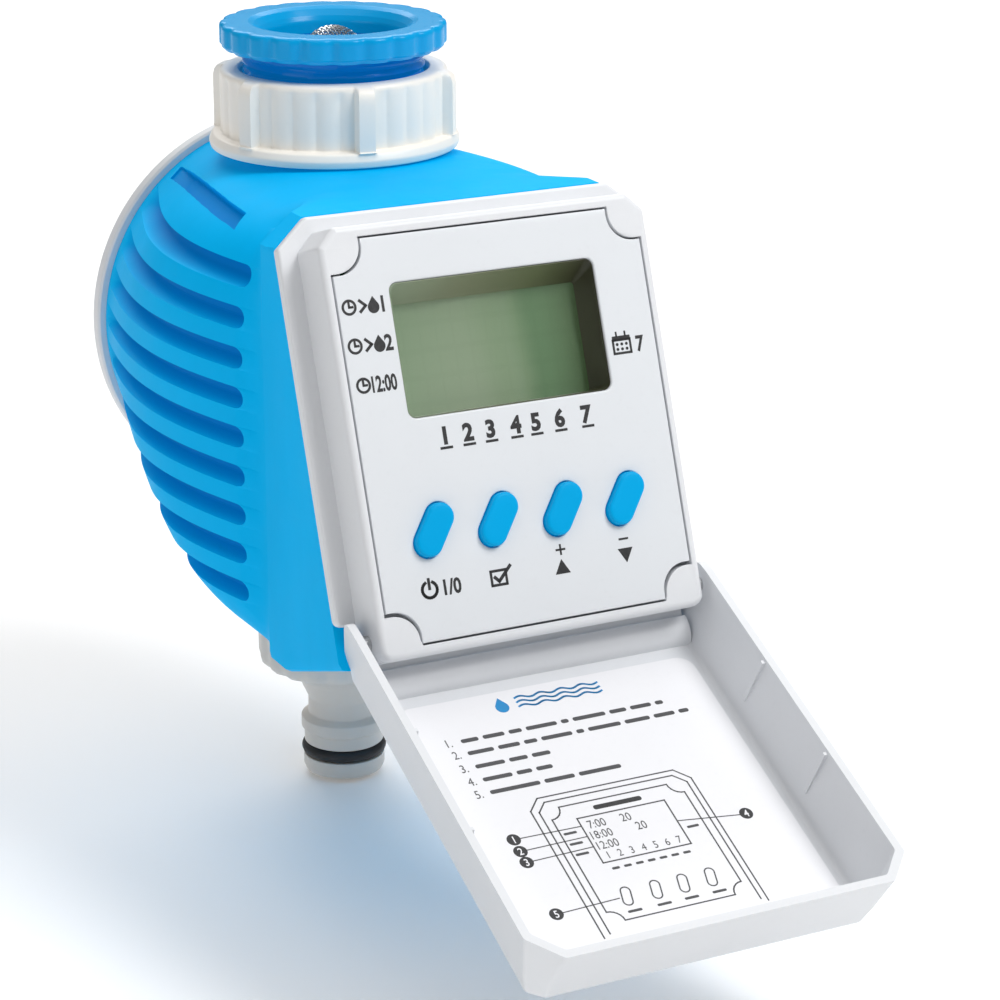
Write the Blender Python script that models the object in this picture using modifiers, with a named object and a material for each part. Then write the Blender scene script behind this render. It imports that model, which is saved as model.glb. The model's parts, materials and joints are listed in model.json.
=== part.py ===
"""Drip irrigation timer: a tap-mounted valve housing with a tilted control panel and a hinged lid.

World frame: +Z up along the inlet, -Y towards the front, origin on the inlet axis at the adaptor's top.
Every size below is in millimetres; the helpers turn them into metres.
"""

import math

import bmesh
import bpy
from mathutils import Matrix, Vector

MM = 0.001
GAP = 0.3  # clearance kept between pieces that touch in the real object
RUN = 0.05  # radial clearance of a shaft in its bore

# Control panel: a frame whose x runs across, y up the panel and z out of it
PANEL_AT = (0.0, -73.26, -56.71)
PANEL_TILT = 20.13
FLANGE_HALF = 34.5
FLANGE_TOP = 39.3
FLANGE_FRONT = -8.5
FLANGE_BACK = -10.5
FLANGE_FOOT = -29.5
BLOCK_HALF = 31.2
BLOCK_TOP = 36.6
BLOCK_FOOT = -36.8
PLATE_HALF = 29.0
PLATE_TALL = 34.0
PLATE_THICK = 2.0
NOTCH = 5.8
WINDOW = (-19.3, 3.1, 19.3, 26.0)
BUTTONS = {"button_power": -18.2, "button_set": -6.15, "button_up": 6.15, "button_down": 18.2}
BUTTON_V = -15.7
BUTTON_R = 2.4
BUTTON_REACH = 2.4  # half the distance between the centres of a button's round ends
BUTTON_LEAN = 34.0
BUTTON_PROUD = 1.4
BOARD_SCREWS = [(sx * 26.2, sy * 28.9) for sx in (-1, 1) for sy in (-1, 1)]

# Lid: a tray in a frame whose -y runs away from the hinge and z out of the open side
LID_AT = (0.0, -80.14, -85.53)
LID_TILT = 24.54
LID_HALF = 34.5
LID_LONG = 74.26
LID_DEEP = 13.93
LID_FLOOR = 1.55
LID_WALL = 1.33
PIN_ALONG = 1.346
PIN_DEPTH = 3.435
PIN_R = 1.5

# Housing
HOUSING_W = 34.3
HOUSING_TOP = -23.2
HOUSING_FOOT = -103.7
HOUSING_WALL = 2.4
HOUSING_SIDES = 32
CREASE_Y = -45.5
REAR_Y = 26.0
REAR_Z = -60.0
REAR_R = 36.8

# Inlet and outlet
NUT_TOP = -8.4
NUT_FOOT = -22.9
NUT_R = 21.0
NUT_FLANGE_R = 23.2
RIM_R = 20.84
RIM_LOBES = 22
NECK_R = 16.8
SPIGOT_R = 12.2
COLLAR_R = 16.5
COLLAR_TOP = -97.0
COLLAR_FOOT = -124.4
TIP_Z = -148.07

# Valve and drive train
BALL_Z = -60.0
BALL_R = 9.5
BALL_BORE = 5.0
CHAMBER_R = 10.9
STEM_R = 3.0
MODULE = 0.6
VALVE_TEETH = 40
IDLER_TEETH = 30
PINION_TEETH = 10
IDLER_X = MODULE * (VALVE_TEETH + PINION_TEETH) / 2
MOTOR_X = IDLER_X + MODULE * (IDLER_TEETH + PINION_TEETH) / 2
GEARBOX = (-15.5, -76.0, 33.0, -44.0)  # low x, low z, high x, high z
GEARBOX_SCREWS = [(-13.0, -73.5), (30.4, -46.5)]

# Battery compartment
CELL_R = 5.25
CELL_LONG = 44.0
CELL_Y = 21.6
CELL_RISE = 5.6
TRAY_SCREW_RISE = 15.5

MATERIALS = {
    "blue_plastic": ((0.0, 0.40, 0.83), 0.35, 0.0),
    "white_plastic": ((0.78, 0.79, 0.81), 0.38, 0.0),
    "panel_plastic": ((0.76, 0.78, 0.80), 0.45, 0.0),
    "nozzle_plastic": ((0.50, 0.49, 0.46), 0.40, 0.0),
    "black_rubber": ((0.012, 0.012, 0.012), 0.6, 0.0),
    "grey_silicone": ((0.30, 0.31, 0.32), 0.6, 0.0),
    "clear_window": ((0.86, 0.90, 0.88), 0.08, 0.0),
    "display_glass": ((0.27, 0.31, 0.22), 0.25, 0.0),
    "surround_plastic": ((0.10, 0.11, 0.08), 0.5, 0.0),
    "circuit_green": ((0.02, 0.18, 0.07), 0.45, 0.0),
    "chip_black": ((0.02, 0.02, 0.022), 0.4, 0.0),
    "label_paper": ((0.86, 0.87, 0.90), 0.45, 0.0),
    "steel": ((0.60, 0.61, 0.62), 0.3, 1.0),
    "brass": ((0.70, 0.52, 0.24), 0.3, 1.0),
    "inner_plastic": ((0.62, 0.64, 0.66), 0.45, 0.0),
    "gear_plastic": ((0.83, 0.80, 0.70), 0.4, 0.0),
    "seal_white": ((0.85, 0.85, 0.82), 0.4, 0.0),
    "cell_wrap": ((0.10, 0.20, 0.35), 0.35, 0.2),
    "lead_red": ((0.55, 0.03, 0.02), 0.5, 0.0),
}


# ---------------------------------------------------------------- scene and helpers


def clear_scene():
    for obj in list(bpy.data.objects):
        bpy.data.objects.remove(obj, do_unlink=True)


def new_collection(name):
    collection = bpy.data.collections.new(name)
    bpy.context.scene.collection.children.link(collection)
    return collection


def new_material(name):
    colour, roughness, metallic = MATERIALS[name]
    material = bpy.data.materials.new(name)
    material.use_nodes = True
    shader = material.node_tree.nodes["Principled BSDF"]
    shader.inputs["Base Color"].default_value = (*colour, 1.0)
    shader.inputs["Roughness"].default_value = roughness
    shader.inputs["Metallic"].default_value = metallic
    material.diffuse_color = (*colour, 1.0)
    return material


def new_frame(name, at, tilt_x):
    """An empty whose axes a group of pieces is modelled in."""
    frame = bpy.data.objects.new(name, None)
    frame.location = Vector(at) * MM
    frame.rotation_euler = (math.radians(tilt_x), 0, 0)
    PARTS.objects.link(frame)
    bpy.context.view_layer.update()
    return frame


def from_bmesh(name, bm, frame=None):
    """A scratch object from a bmesh in millimetres, waiting for finish() or a Boolean."""
    bmesh.ops.scale(bm, vec=(MM, MM, MM), verts=bm.verts)
    mesh = bpy.data.meshes.new(name)
    bm.to_mesh(mesh)
    bm.free()
    obj = bpy.data.objects.new(name, mesh)
    CUTTERS.objects.link(obj)
    obj.parent = frame
    return obj


def block(name, low, high, frame=None):
    bm = bmesh.new()
    bmesh.ops.create_cube(bm, size=1.0)
    low, high = Vector(low), Vector(high)
    size = high - low
    bmesh.ops.scale(bm, vec=size, verts=bm.verts)
    bmesh.ops.translate(bm, vec=(low + high) / 2, verts=bm.verts)
    return from_bmesh(name, bm, frame)


def rod(name, start, end, radius, sides=24, end_radius=None, frame=None):
    """A capped cylinder or cone between two points."""
    start, end = Vector(start), Vector(end)
    along = end - start
    bm = bmesh.new()
    bmesh.ops.create_cone(
        bm,
        cap_ends=True,
        cap_tris=False,
        segments=sides,
        radius1=radius,
        radius2=radius if end_radius is None else end_radius,
        depth=along.length,
    )
    turn = along.to_track_quat("Z", "Y").to_matrix().to_4x4()
    bmesh.ops.transform(bm, matrix=Matrix.Translation((start + end) / 2) @ turn, verts=bm.verts)
    return from_bmesh(name, bm, frame)


def evaluated_copy(obj):
    """The object with its modifiers or curve made into one plain mesh; the original goes."""
    bpy.context.view_layer.update()
    graph = bpy.context.evaluated_depsgraph_get()
    mesh = bpy.data.meshes.new_from_object(obj.evaluated_get(graph))
    bm = bmesh.new()
    bm.from_mesh(mesh)
    bmesh.ops.remove_doubles(bm, verts=bm.verts, dist=1e-6)
    bmesh.ops.recalc_face_normals(bm, faces=bm.faces)
    bm.to_mesh(mesh)
    bm.free()
    name, frame, world = obj.name, obj.parent, obj.matrix_world.copy()
    bpy.data.objects.remove(obj, do_unlink=True)
    copy = bpy.data.objects.new(name, mesh)
    CUTTERS.objects.link(copy)
    copy.parent = frame
    copy.matrix_world = world
    return copy


def turned(name, profile, sides=40, axis_at=(0, 0, 0), axis="Z", frame=None):
    """A solid of revolution from (radius, height) points, run top to bottom on the outer side."""
    mesh = bpy.data.meshes.new(name)
    points = [(radius * MM, 0, height * MM) for radius, height in profile]
    loop = [(i, (i + 1) % len(points)) for i in range(len(points))]
    open_axis = [edge for edge in loop if any(points[i][0] > 1e-9 for i in edge)]
    mesh.from_pydata(points, open_axis, [])
    obj = bpy.data.objects.new(name, mesh)
    CUTTERS.objects.link(obj)
    screw = obj.modifiers.new("Screw", "SCREW")
    screw.steps = sides
    screw.render_steps = sides
    screw.use_merge_vertices = True
    screw.merge_threshold = 1e-5
    obj.location = Vector(axis_at) * MM
    if axis == "Y":
        obj.rotation_euler = (math.radians(-90), 0, 0)
    if axis == "X":
        obj.rotation_euler = (0, math.radians(90), 0)
    obj = evaluated_copy(obj)
    obj.parent = frame
    return obj


def slab(name, outline, low, high, frame=None, holes=()):
    """A flat outline in the frame's x-y plane, from height low to height high."""
    curve = bpy.data.curves.new(name, "CURVE")
    curve.dimensions = "2D"
    curve.fill_mode = "BOTH"
    curve.extrude = (high - low) / 2 * MM
    for ring in (outline, *holes):
        spline = curve.splines.new("POLY")
        spline.points.add(len(ring) - 1)
        for point, (x, y) in zip(spline.points, ring):
            point.co = (x * MM, y * MM, 0, 1)
        spline.use_cyclic_u = True
    obj = bpy.data.objects.new(name, curve)
    CUTTERS.objects.link(obj)
    obj.location = (0, 0, (low + high) / 2 * MM)
    obj = evaluated_copy(obj)
    obj.data.transform(obj.matrix_world)
    obj.matrix_world = Matrix.Identity(4)
    bm = bmesh.new()
    bm.from_mesh(obj.data)
    bmesh.ops.dissolve_limit(bm, angle_limit=0.001, verts=bm.verts, edges=bm.edges)
    bm.to_mesh(obj.data)
    bm.free()
    obj.parent = frame
    return obj


def wire(name, points, radius, bevel_resolution=2):
    """A round wire along a list of points."""
    curve = bpy.data.curves.new(name, "CURVE")
    curve.dimensions = "3D"
    curve.bevel_depth = radius * MM
    curve.bevel_resolution = bevel_resolution
    curve.use_fill_caps = True
    spline = curve.splines.new("POLY")
    spline.points.add(len(points) - 1)
    for point, at in zip(spline.points, points):
        point.co = (*(Vector(at) * MM), 1)
    obj = bpy.data.objects.new(name, curve)
    CUTTERS.objects.link(obj)
    return evaluated_copy(obj)


def combine(target, tools, operation, solver):
    for tool in tools:
        modifier = target.modifiers.new(operation.lower(), "BOOLEAN")
        modifier.operation = operation
        modifier.solver = solver
        modifier.object = tool
        baked = evaluated_copy(target)
        bpy.data.objects.remove(tool, do_unlink=True)
        target = baked
    return target


def cut(target, *tools, solver="EXACT"):
    return combine(target, tools, "DIFFERENCE", solver)


def fuse(target, *tools, solver="EXACT"):
    return combine(target, tools, "UNION", solver)


def finish(obj, name, material, sharp=32.0):
    """Names the piece, gives it its material and moves it to the collection of parts."""
    obj.name = name
    obj.data.name = name
    obj.data.materials.clear()
    obj.data.materials.append(MATERIAL[material])
    obj.data.shade_smooth()
    obj.data.set_sharp_from_angle(angle=math.radians(sharp))
    CUTTERS.objects.unlink(obj)
    PARTS.objects.link(obj)
    return obj


def finish_each(pieces, name, material):
    """Numbers the copies of a repeated piece: name_1, name_2 and so on."""
    for i, piece in enumerate(pieces):
        finish(piece, f"{name}_{i + 1}", material)


def on_axis(obj, at):
    """Moves the object's origin to a point of its joint's axis, given in world millimetres."""
    bpy.context.view_layer.update()
    frame = obj.parent
    world = obj.matrix_world.copy()
    obj.parent = None
    obj.matrix_world = Matrix.Identity(4)
    obj.data.transform(Matrix.Translation(Vector(at) * -MM) @ world)
    obj.matrix_world = Matrix.Translation(Vector(at) * MM)
    if frame is not None:
        obj.parent = frame
        obj.matrix_parent_inverse = frame.matrix_world.inverted()
    return obj


def arc(cx, cy, radius, start, end, steps):
    """Points of a circular arc, from one angle in degrees to another."""
    turn = [math.radians(start + (end - start) * i / steps) for i in range(steps + 1)]
    return [(cx + radius * math.cos(a), cy + radius * math.sin(a)) for a in turn]


def rounded(low_x, low_y, high_x, high_y, radius, steps=4):
    corners = [(high_x, high_y, 0), (low_x, high_y, 90), (low_x, low_y, 180), (high_x, low_y, 270)]
    ring = []
    for x, y, start in corners:
        cx = x - math.copysign(radius, x - (low_x + high_x) / 2)
        cy = y - math.copysign(radius, y - (low_y + high_y) / 2)
        ring += arc(cx, cy, radius, start, start + 90, steps)
    return ring


def lobed(radius, lobes, depth, narrow, per_lobe=4):
    """A round outline with equal notches; a larger narrow makes the notches slimmer."""
    ring = []
    for i in range(lobes * per_lobe):
        a = 2 * math.pi * i / (lobes * per_lobe)
        dip = abs(math.cos(lobes * a / 2)) ** narrow
        r = radius - depth * dip
        ring.append((r * math.cos(a), r * math.sin(a)))
    return ring


def panel_point(x, y, z):
    """World millimetres of a point given in the panel's frame."""
    tilt = math.radians(PANEL_TILT)
    up = Vector((0, math.sin(tilt), math.cos(tilt)))
    out = Vector((0, -math.cos(tilt), math.sin(tilt)))
    return Vector(PANEL_AT) + Vector((x, 0, 0)) + up * y + out * z


def lid_point(x, along, height):
    """World millimetres of a point of the lid: along runs away from the hinge."""
    tilt = math.radians(LID_TILT)
    away = Vector((0, -math.cos(tilt), -math.sin(tilt)))
    out = Vector((0, -math.sin(tilt), math.cos(tilt)))
    return Vector(LID_AT) + Vector((x, 0, 0)) + away * along + out * height


# ---------------------------------------------------------------- housing


def convex_radius(sides, angle):
    """Distance from the centre of a convex outline to its edge; sides are (nx, ny, distance)."""
    c, s = math.cos(angle), math.sin(angle)
    reach = [d / (nx * c + ny * s) for nx, ny, d in sides if nx * c + ny * s > 1e-6]
    return min(reach)


def collar_sides(half, low, high, chamfer_x, chamfer_y):
    """The collar's outline: a rectangle with its two top corners cut off."""
    slope = math.hypot(chamfer_x, chamfer_y)
    nx, ny = chamfer_y / slope, chamfer_x / slope
    reach = nx * half + ny * (high - chamfer_y)
    return [(1, 0, half), (-1, 0, half), (0, 1, high), (0, -1, -low), (nx, ny, reach), (-nx, ny, reach)]


def barrel_section(y):
    """Half width, top, foot, centre and the two corner exponents of the barrel at this y."""
    t = min(max((y - CREASE_Y) / (REAR_Y - CREASE_Y), 0.0), 1.0)
    width = HOUSING_W + (REAR_R - HOUSING_W) * t + 6.5 * math.sin(math.pi * t**0.96)
    foot = HOUSING_FOOT + (REAR_Z - REAR_R - HOUSING_FOOT) * t**2
    centre = -67.3 + (REAR_Z + 67.3) * t
    upper = 2.0 + 2.7 * (1 - t) ** 1.2
    lower = 2.0 + 7.5 * (1 - t) ** 2.2
    return width, HOUSING_TOP, foot, centre, upper, lower


def barrel_point(y, angle):
    width, top, foot, centre, upper, lower = barrel_section(y)
    c, s = math.cos(angle), math.sin(angle)
    exponent, reach = (upper, top - centre) if s >= 0 else (lower, centre - foot)
    r = (abs(c / width) ** exponent + abs(s / reach) ** exponent) ** (-1 / exponent)
    return r * c, centre + r * s


def housing_rings(angles):
    """Rings of the housing's outer surface, from the tilted mouth behind the panel to the rear."""
    rings = []
    mouth_z = FLANGE_BACK - GAP
    middle = 1.3
    mouth_top = 39.65
    sides = collar_sides(HOUSING_W, -37.0 - middle, mouth_top - middle, 5.8, 5.2)
    ring = []
    for a in angles:
        r = convex_radius(sides, a)
        ring.append(panel_point(r * math.cos(a), middle + r * math.sin(a), mouth_z))
    rings.append(ring)
    centre = (HOUSING_TOP + HOUSING_FOOT) / 2
    half_tall = (HOUSING_TOP - HOUSING_FOOT) / 2
    sides = collar_sides(HOUSING_W, -half_tall, half_tall, 5.8, 4.9)
    for foot_y, top_y in ((-52.0, -47.5), (CREASE_Y, CREASE_Y)):
        ring = []
        for a in angles:
            r = convex_radius(sides, a)
            x, z = r * math.cos(a), centre + r * math.sin(a)
            share = (z - HOUSING_FOOT) / (HOUSING_TOP - HOUSING_FOOT)
            ring.append(Vector((x, foot_y + (top_y - foot_y) * share, z)))
        rings.append(ring)
    for y in (-38.0, -26.0, -9.0, 6.0, 18.0, REAR_Y):
        ring = []
        for a in angles:
            x, z = barrel_point(y, a)
            ring.append(Vector((x, y, z)))
        rings.append(ring)
    return rings


def lofted(name, rings, capped=False):
    bm = bmesh.new()
    rows = [[bm.verts.new(point) for point in ring] for ring in rings]
    count = len(rows[0])
    for low, high in zip(rows, rows[1:]):
        for i in range(count):
            j = (i + 1) % count
            bm.faces.new((low[i], low[j], high[j], high[i]))
    if capped:
        bm.faces.new(rows[0][::-1])
        bm.faces.new(rows[-1])
        bmesh.ops.recalc_face_normals(bm, faces=bm.faces)
    return from_bmesh(name, bm)


def make_body_shell():
    angles = [2 * math.pi * i / HOUSING_SIDES for i in range(HOUSING_SIDES)]
    shell = lofted("shell", housing_rings(angles))
    bm = bmesh.new()
    bm.from_mesh(shell.data)
    bmesh.ops.recalc_face_normals(bm, faces=bm.faces)
    bm.to_mesh(shell.data)
    bm.free()
    solidify = shell.modifiers.new("wall", "SOLIDIFY")
    solidify.thickness = HOUSING_WALL * MM
    solidify.offset = -1.0
    solidify.use_even_offset = True
    shell = evaluated_copy(shell)
    inlet = rod("inlet_hole", (0, 0, -40), (0, 0, -10), SPIGOT_R + 2.0, 24)
    outlet = rod("outlet_hole", (0, 0, -115), (0, 0, -80), COLLAR_R + GAP, 28)
    shell = cut(shell, inlet, outlet)
    return finish(shell, "body_shell", "blue_plastic", 40)


# ---------------------------------------------------------------- panel


def flange_outline():
    """The flange: top corners cut, sides ending above the lid's ears, narrow below them."""
    half, top = FLANGE_HALF, FLANGE_TOP
    ear_half = BLOCK_HALF - 0.4
    right = [(ear_half, BLOCK_FOOT - 1.3), (ear_half, FLANGE_FOOT)]
    right += arc(half - 1.5, FLANGE_FOOT + 1.5, 1.5, -90, 0, 3)
    right += [(half, top - 4.9), (half - 5.8, top)]
    left = [(-x, y) for x, y in reversed(right)]
    return right + left


def block_outline(half, top, foot):
    right = arc(half - 2.5, foot + 2.5, 2.5, -90, 0, 4)
    right += [(half, top - 3.2), (half - 3.2, top)]
    return right + [(-x, y) for x, y in reversed(right)]


def plate_outline(grow):
    """The fascia: a rectangle whose four corners are scooped out."""
    half, tall, notch = PLATE_HALF + grow, PLATE_TALL + grow, NOTCH
    lip = 1.2
    bow = notch - lip
    right_top = [(half, tall - notch)]
    right_top += arc(half - lip, tall - lip, bow, 270, 180, 5)
    right_top.append((half - notch, tall))
    left_top = [(-x, y) for x, y in reversed(right_top)]
    left_foot = [(x, -y) for x, y in reversed(left_top)]
    right_foot = [(x, -y) for x, y in reversed(right_top)]
    return right_top + left_top + left_foot + right_foot


def stadium(cx, cy, radius, reach, lean, steps=6):
    """A slanted stadium: its long axis leans by this angle from the panel's up."""
    ring = arc(0, reach, radius, 0, 180, steps) + arc(0, -reach, radius, 180, 360, steps)
    turn = math.radians(-lean)
    c, s = math.cos(turn), math.sin(turn)
    return [(cx + x * c - y * s, cy + x * s + y * c) for x, y in ring]


def block_ring(outline, height):
    """The raised block's outline at a height: drafted, with its foot edge bevelled to let the lid swing by."""
    share = 1 - height / (FLANGE_BACK + 0.4)
    ring = []
    for x, y in outline:
        lift = 1.1 * min(max((-33.8 - y) / 3.0, 0.0), 1.0) if height > -1 else 0.0
        ring.append(Vector((x * (1 - 0.5 / BLOCK_HALF * share), y * (1 - 0.3 / BLOCK_TOP * share) + lift, height)))
    return ring


def make_front_bezel():
    bezel = slab("bezel", flange_outline(), FLANGE_BACK, FLANGE_FRONT, PANEL)
    outline = block_outline(BLOCK_HALF, BLOCK_TOP, BLOCK_FOOT)
    raised = lofted("raised", [block_ring(outline, height) for height in (FLANGE_BACK + 0.4, -1.2, 0.0)],
                    capped=True)
    raised.parent = PANEL
    bezel = fuse(bezel, raised, solver="MANIFOLD")
    spigot = slab("spigot", rounded(-30.4, -31.9, 30.4, 33.9, 3.0), -15.0, -9.5, PANEL)
    bezel = fuse(bezel, spigot, solver="MANIFOLD")
    cavity = slab("cavity", rounded(-29.0, -31.3, 29.0, 33.0, 2.0), -20.0, -4.5, PANEL)
    bezel = cut(bezel, cavity, solver="MANIFOLD")
    posts = [rod("post", (x, y, -4.6 + 0.4), (x, y, -8.0), 2.7, 12, frame=PANEL) for x, y in BOARD_SCREWS]
    bezel = fuse(bezel, *posts, solver="MANIFOLD")
    holes = [rod("hole", (x, y, -5.4), (x, y, -8.6), 1.0 + RUN, 12, frame=PANEL) for x, y in BOARD_SCREWS]
    pocket = slab("pocket", plate_outline(0.35), -2.3, 1.0, PANEL)
    opening = slab("opening", rounded(-26.6, -27.6, 26.6, 31.0, 1.5, 2), -10.0, 1.0, PANEL)
    pins = [
        rod("pin_hole", (side * 28.4, PIN_V, PIN_H), (side * 35, PIN_V, PIN_H), PIN_R + RUN, 24, frame=PANEL)
        for side in (-1, 1)
    ]
    bezel = cut(bezel, pocket, opening, *holes, *pins, solver="MANIFOLD")
    return finish(bezel, "front_bezel", "white_plastic")


def make_front_plate():
    plate = slab("plate", plate_outline(0.0), -PLATE_THICK, 0.0, PANEL)
    window = slab("window_cut", rounded(*WINDOW, 1.4), -5, 5, PANEL)
    holes = [
        slab("button_cut", stadium(x, BUTTON_V, BUTTON_R + 0.25, BUTTON_REACH, BUTTON_LEAN), -5, 5, PANEL)
        for x in BUTTONS.values()
    ]
    plate = cut(plate, window, *holes, solver="MANIFOLD")
    return finish(plate, "front_plate", "panel_plastic")


def make_display():
    low_x, low_y, high_x, high_y = WINDOW
    wall = 2.0
    outer = rounded(low_x - wall, low_y - wall, high_x + wall, high_y + wall, 2.0)
    inner = rounded(low_x - 0.2, low_y - 0.2, high_x + 0.2, high_y + 0.2, 1.4)
    surround = slab("surround", outer, -4.6, -PLATE_THICK - GAP, PANEL)
    surround = cut(surround, slab("hollow", inner, -6, 0, PANEL))
    finish(surround, "display_surround", "surround_plastic")
    window = slab("window", outer, -5.9, -4.9, PANEL)
    finish(window, "display_window", "clear_window")
    module = slab("module", outer, -8.0, -6.2, PANEL)
    finish(module, "lcd_module", "display_glass")


def make_buttons():
    for name, x in BUTTONS.items():
        top = stadium(x, BUTTON_V, BUTTON_R, BUTTON_REACH, BUTTON_LEAN)
        cap = slab("cap", top, -2.6, BUTTON_PROUD, PANEL)
        skirt = stadium(x, BUTTON_V, BUTTON_R + 1.0, BUTTON_REACH, BUTTON_LEAN)
        button = fuse(cap, slab("skirt", skirt, -3.2, -PLATE_THICK - GAP, PANEL))
        finish(on_axis(button, panel_point(x, BUTTON_V, 0)), name, "blue_plastic")


def make_keypad():
    sheet = slab("sheet", rounded(-25.0, -22.0, 25.0, -9.0, 1.0, 2), -8.0, -7.0, PANEL)
    domes = [
        rod("dome", (x, BUTTON_V, -7.4), (x, BUTTON_V, -4.8), 3.0, 16, 2.0, frame=PANEL)
        for x in BUTTONS.values()
    ]
    finish(fuse(sheet, *domes), "keypad", "grey_silicone")


def make_circuit_board():
    board = slab("board", rounded(-28.4, -30.9, 28.4, 32.2, 1.5, 2), -9.9, -8.3, PANEL)
    holes = [rod("hole", (x, y, -12), (x, y, -6), 1.2, 12, frame=PANEL) for x, y in BOARD_SCREWS]
    finish(cut(board, *holes), "circuit_board", "circuit_green")
    finish(block("controller", (-6, 8, -11.4), (6, 18, -10.2), PANEL), "controller_chip", "chip_black")
    can = rod("can", (-14, -8, -10.2), (-14, -8, -16.5), 3.0, 16, frame=PANEL)
    finish(can, "capacitor", "chip_black")
    screws = []
    for x, y in BOARD_SCREWS:
        shank = rod("shank", (x, y, -5.8), (x, y, -10.9), 1.0, 12, frame=PANEL)
        screws.append(fuse(shank, rod("head", (x, y, -10.2), (x, y, -11.6), 2.0, 12, frame=PANEL)))
    finish_each(screws, "board_screw", "steel")


def make_bezel_gasket():
    ring = slab("gasket", rounded(-31.3, -32.8, 31.3, 34.9, 4.0), -13.2, -11.2, PANEL)
    ring = cut(ring, slab("hollow", rounded(-30.7, -32.2, 30.7, 34.2, 3.3), -15, -10, PANEL))
    finish(ring, "bezel_gasket", "black_rubber")


# ---------------------------------------------------------------- lid


def lid_outline(depth):
    """The tray's outline at a depth below the rim: narrower and shorter towards the floor."""
    bend = 9.0
    half = LID_HALF - 0.195 * min(depth, bend)
    if depth > bend:
        half -= (half - 31.25) * (depth - bend) / (LID_DEEP - bend)
    long = LID_LONG - 3.16 * depth / LID_DEEP
    share = depth / LID_DEEP
    cut_x, cut_y = 4.85 - 2.3 * share, 5.2 - 3.4 * share
    return half, long, cut_x, cut_y


def lid_ring(depth, inset, hinge_end):
    half, long, cut_x, cut_y = lid_outline(depth)
    half, long = half - inset, long - inset
    trim = inset * 0.5
    right = [(half, -hinge_end), (half, -(long - cut_y + trim)), (half - cut_x + trim, -long)]
    ring = right + [(-x, y) for x, y in reversed(right)]
    return [Vector((x, y, -depth)) for x, y in ring]


def side_slab(name, profile, low, high):
    """An outline of (along, height) points of the lid, swept across its width."""
    bm = bmesh.new()
    rows = []
    for x in (low, high):
        rows.append([bm.verts.new((x, -along, height)) for along, height in profile])
    count = len(profile)
    for i in range(count):
        j = (i + 1) % count
        bm.faces.new((rows[0][i], rows[0][j], rows[1][j], rows[1][i]))
    bm.faces.new(rows[0][::-1])
    bm.faces.new(rows[1])
    bmesh.ops.recalc_face_normals(bm, faces=bm.faces)
    return from_bmesh(name, bm, LID)


def lip_profile():
    """The rounded step at the hinge end of the floor, as a closed (along, height) outline."""
    floor = LID_FLOOR - LID_DEEP
    turn = [math.radians(18 * i) for i in range(6)]
    inner = [(2.9 + 3.9 * math.cos(a), floor + 3.5 * math.sin(a)) for a in turn]
    outer = [(2.9 + 2.5 * math.cos(a), floor - 0.2 + 2.25 * math.sin(a)) for a in reversed(turn)]
    return inner + outer + [(5.4, -LID_DEEP), (8.0, -LID_DEEP), (8.0, floor)]


def make_lid():
    hinge_end = -2.3
    outer = [lid_ring(depth, 0.0, hinge_end) for depth in (0.0, 9.0, LID_DEEP)]
    inner = [lid_ring(depth, LID_WALL, -10.0) for depth in (-1.0, 9.0, LID_DEEP - LID_FLOOR)]
    tray = lofted("tray", outer, capped=True)
    hollow = lofted("hollow", inner, capped=True)
    tray.parent = LID
    hollow.parent = LID
    half = 29.6
    under = side_slab("under", [(-10, -11), (5.4, -11), (5.4, -20), (-10, -20)], -half, half)
    tray = cut(tray, hollow, under)
    tray = fuse(tray, side_slab("lip", lip_profile(), -half - 0.8, half + 0.8))
    ribs = []
    for side in (-1, 1):
        for along in (24.0, 46.0):
            low = (side * 31.9 - 0.45, -along - 0.4, -11)
            high = (side * 31.9 + 0.45, -along + 0.4, -0.6)
            ribs.append(block("rib", low, high, LID))
    tray = fuse(tray, *ribs)
    ear_end = [
        (-9, 4), (-9, -20), (0.5, -20), (-0.3, -10.2), (hinge_end, -8.0), (hinge_end, -2.4), (-1.6, -0.7),
        (0, 4),
    ]
    trims = [side_slab("trim", ear_end, low, high) for low, high in ((-40, -28), (28, 40))]
    pins = [
        rod("pin_hole", (side * 20, -PIN_ALONG, -PIN_DEPTH), (side * 33.3, -PIN_ALONG, -PIN_DEPTH),
            PIN_R + RUN, 24, frame=LID)
        for side in (-1, 1)
    ]
    tray = cut(tray, *trims, *pins)
    finish(on_axis(tray, HINGE_AT), "lid", "white_plastic")
    height = -LID_DEEP + LID_FLOOR + GAP
    label = slab("label", rounded(-28.4, -69.0, 28.4, -9.6, 3.0), height, height + 0.25, LID)
    finish(on_axis(label, HINGE_AT), "lid_label", "label_paper")


def make_hinge_pins():
    for side, name in ((-1, "hinge_pin_left"), (1, "hinge_pin_right")):
        pin = rod("pin", (side * 28.7, PIN_V, PIN_H), (side * 33.0, PIN_V, PIN_H), PIN_R, 24, frame=PANEL)
        finish(pin, name, "steel")


# ---------------------------------------------------------------- inlet


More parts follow.
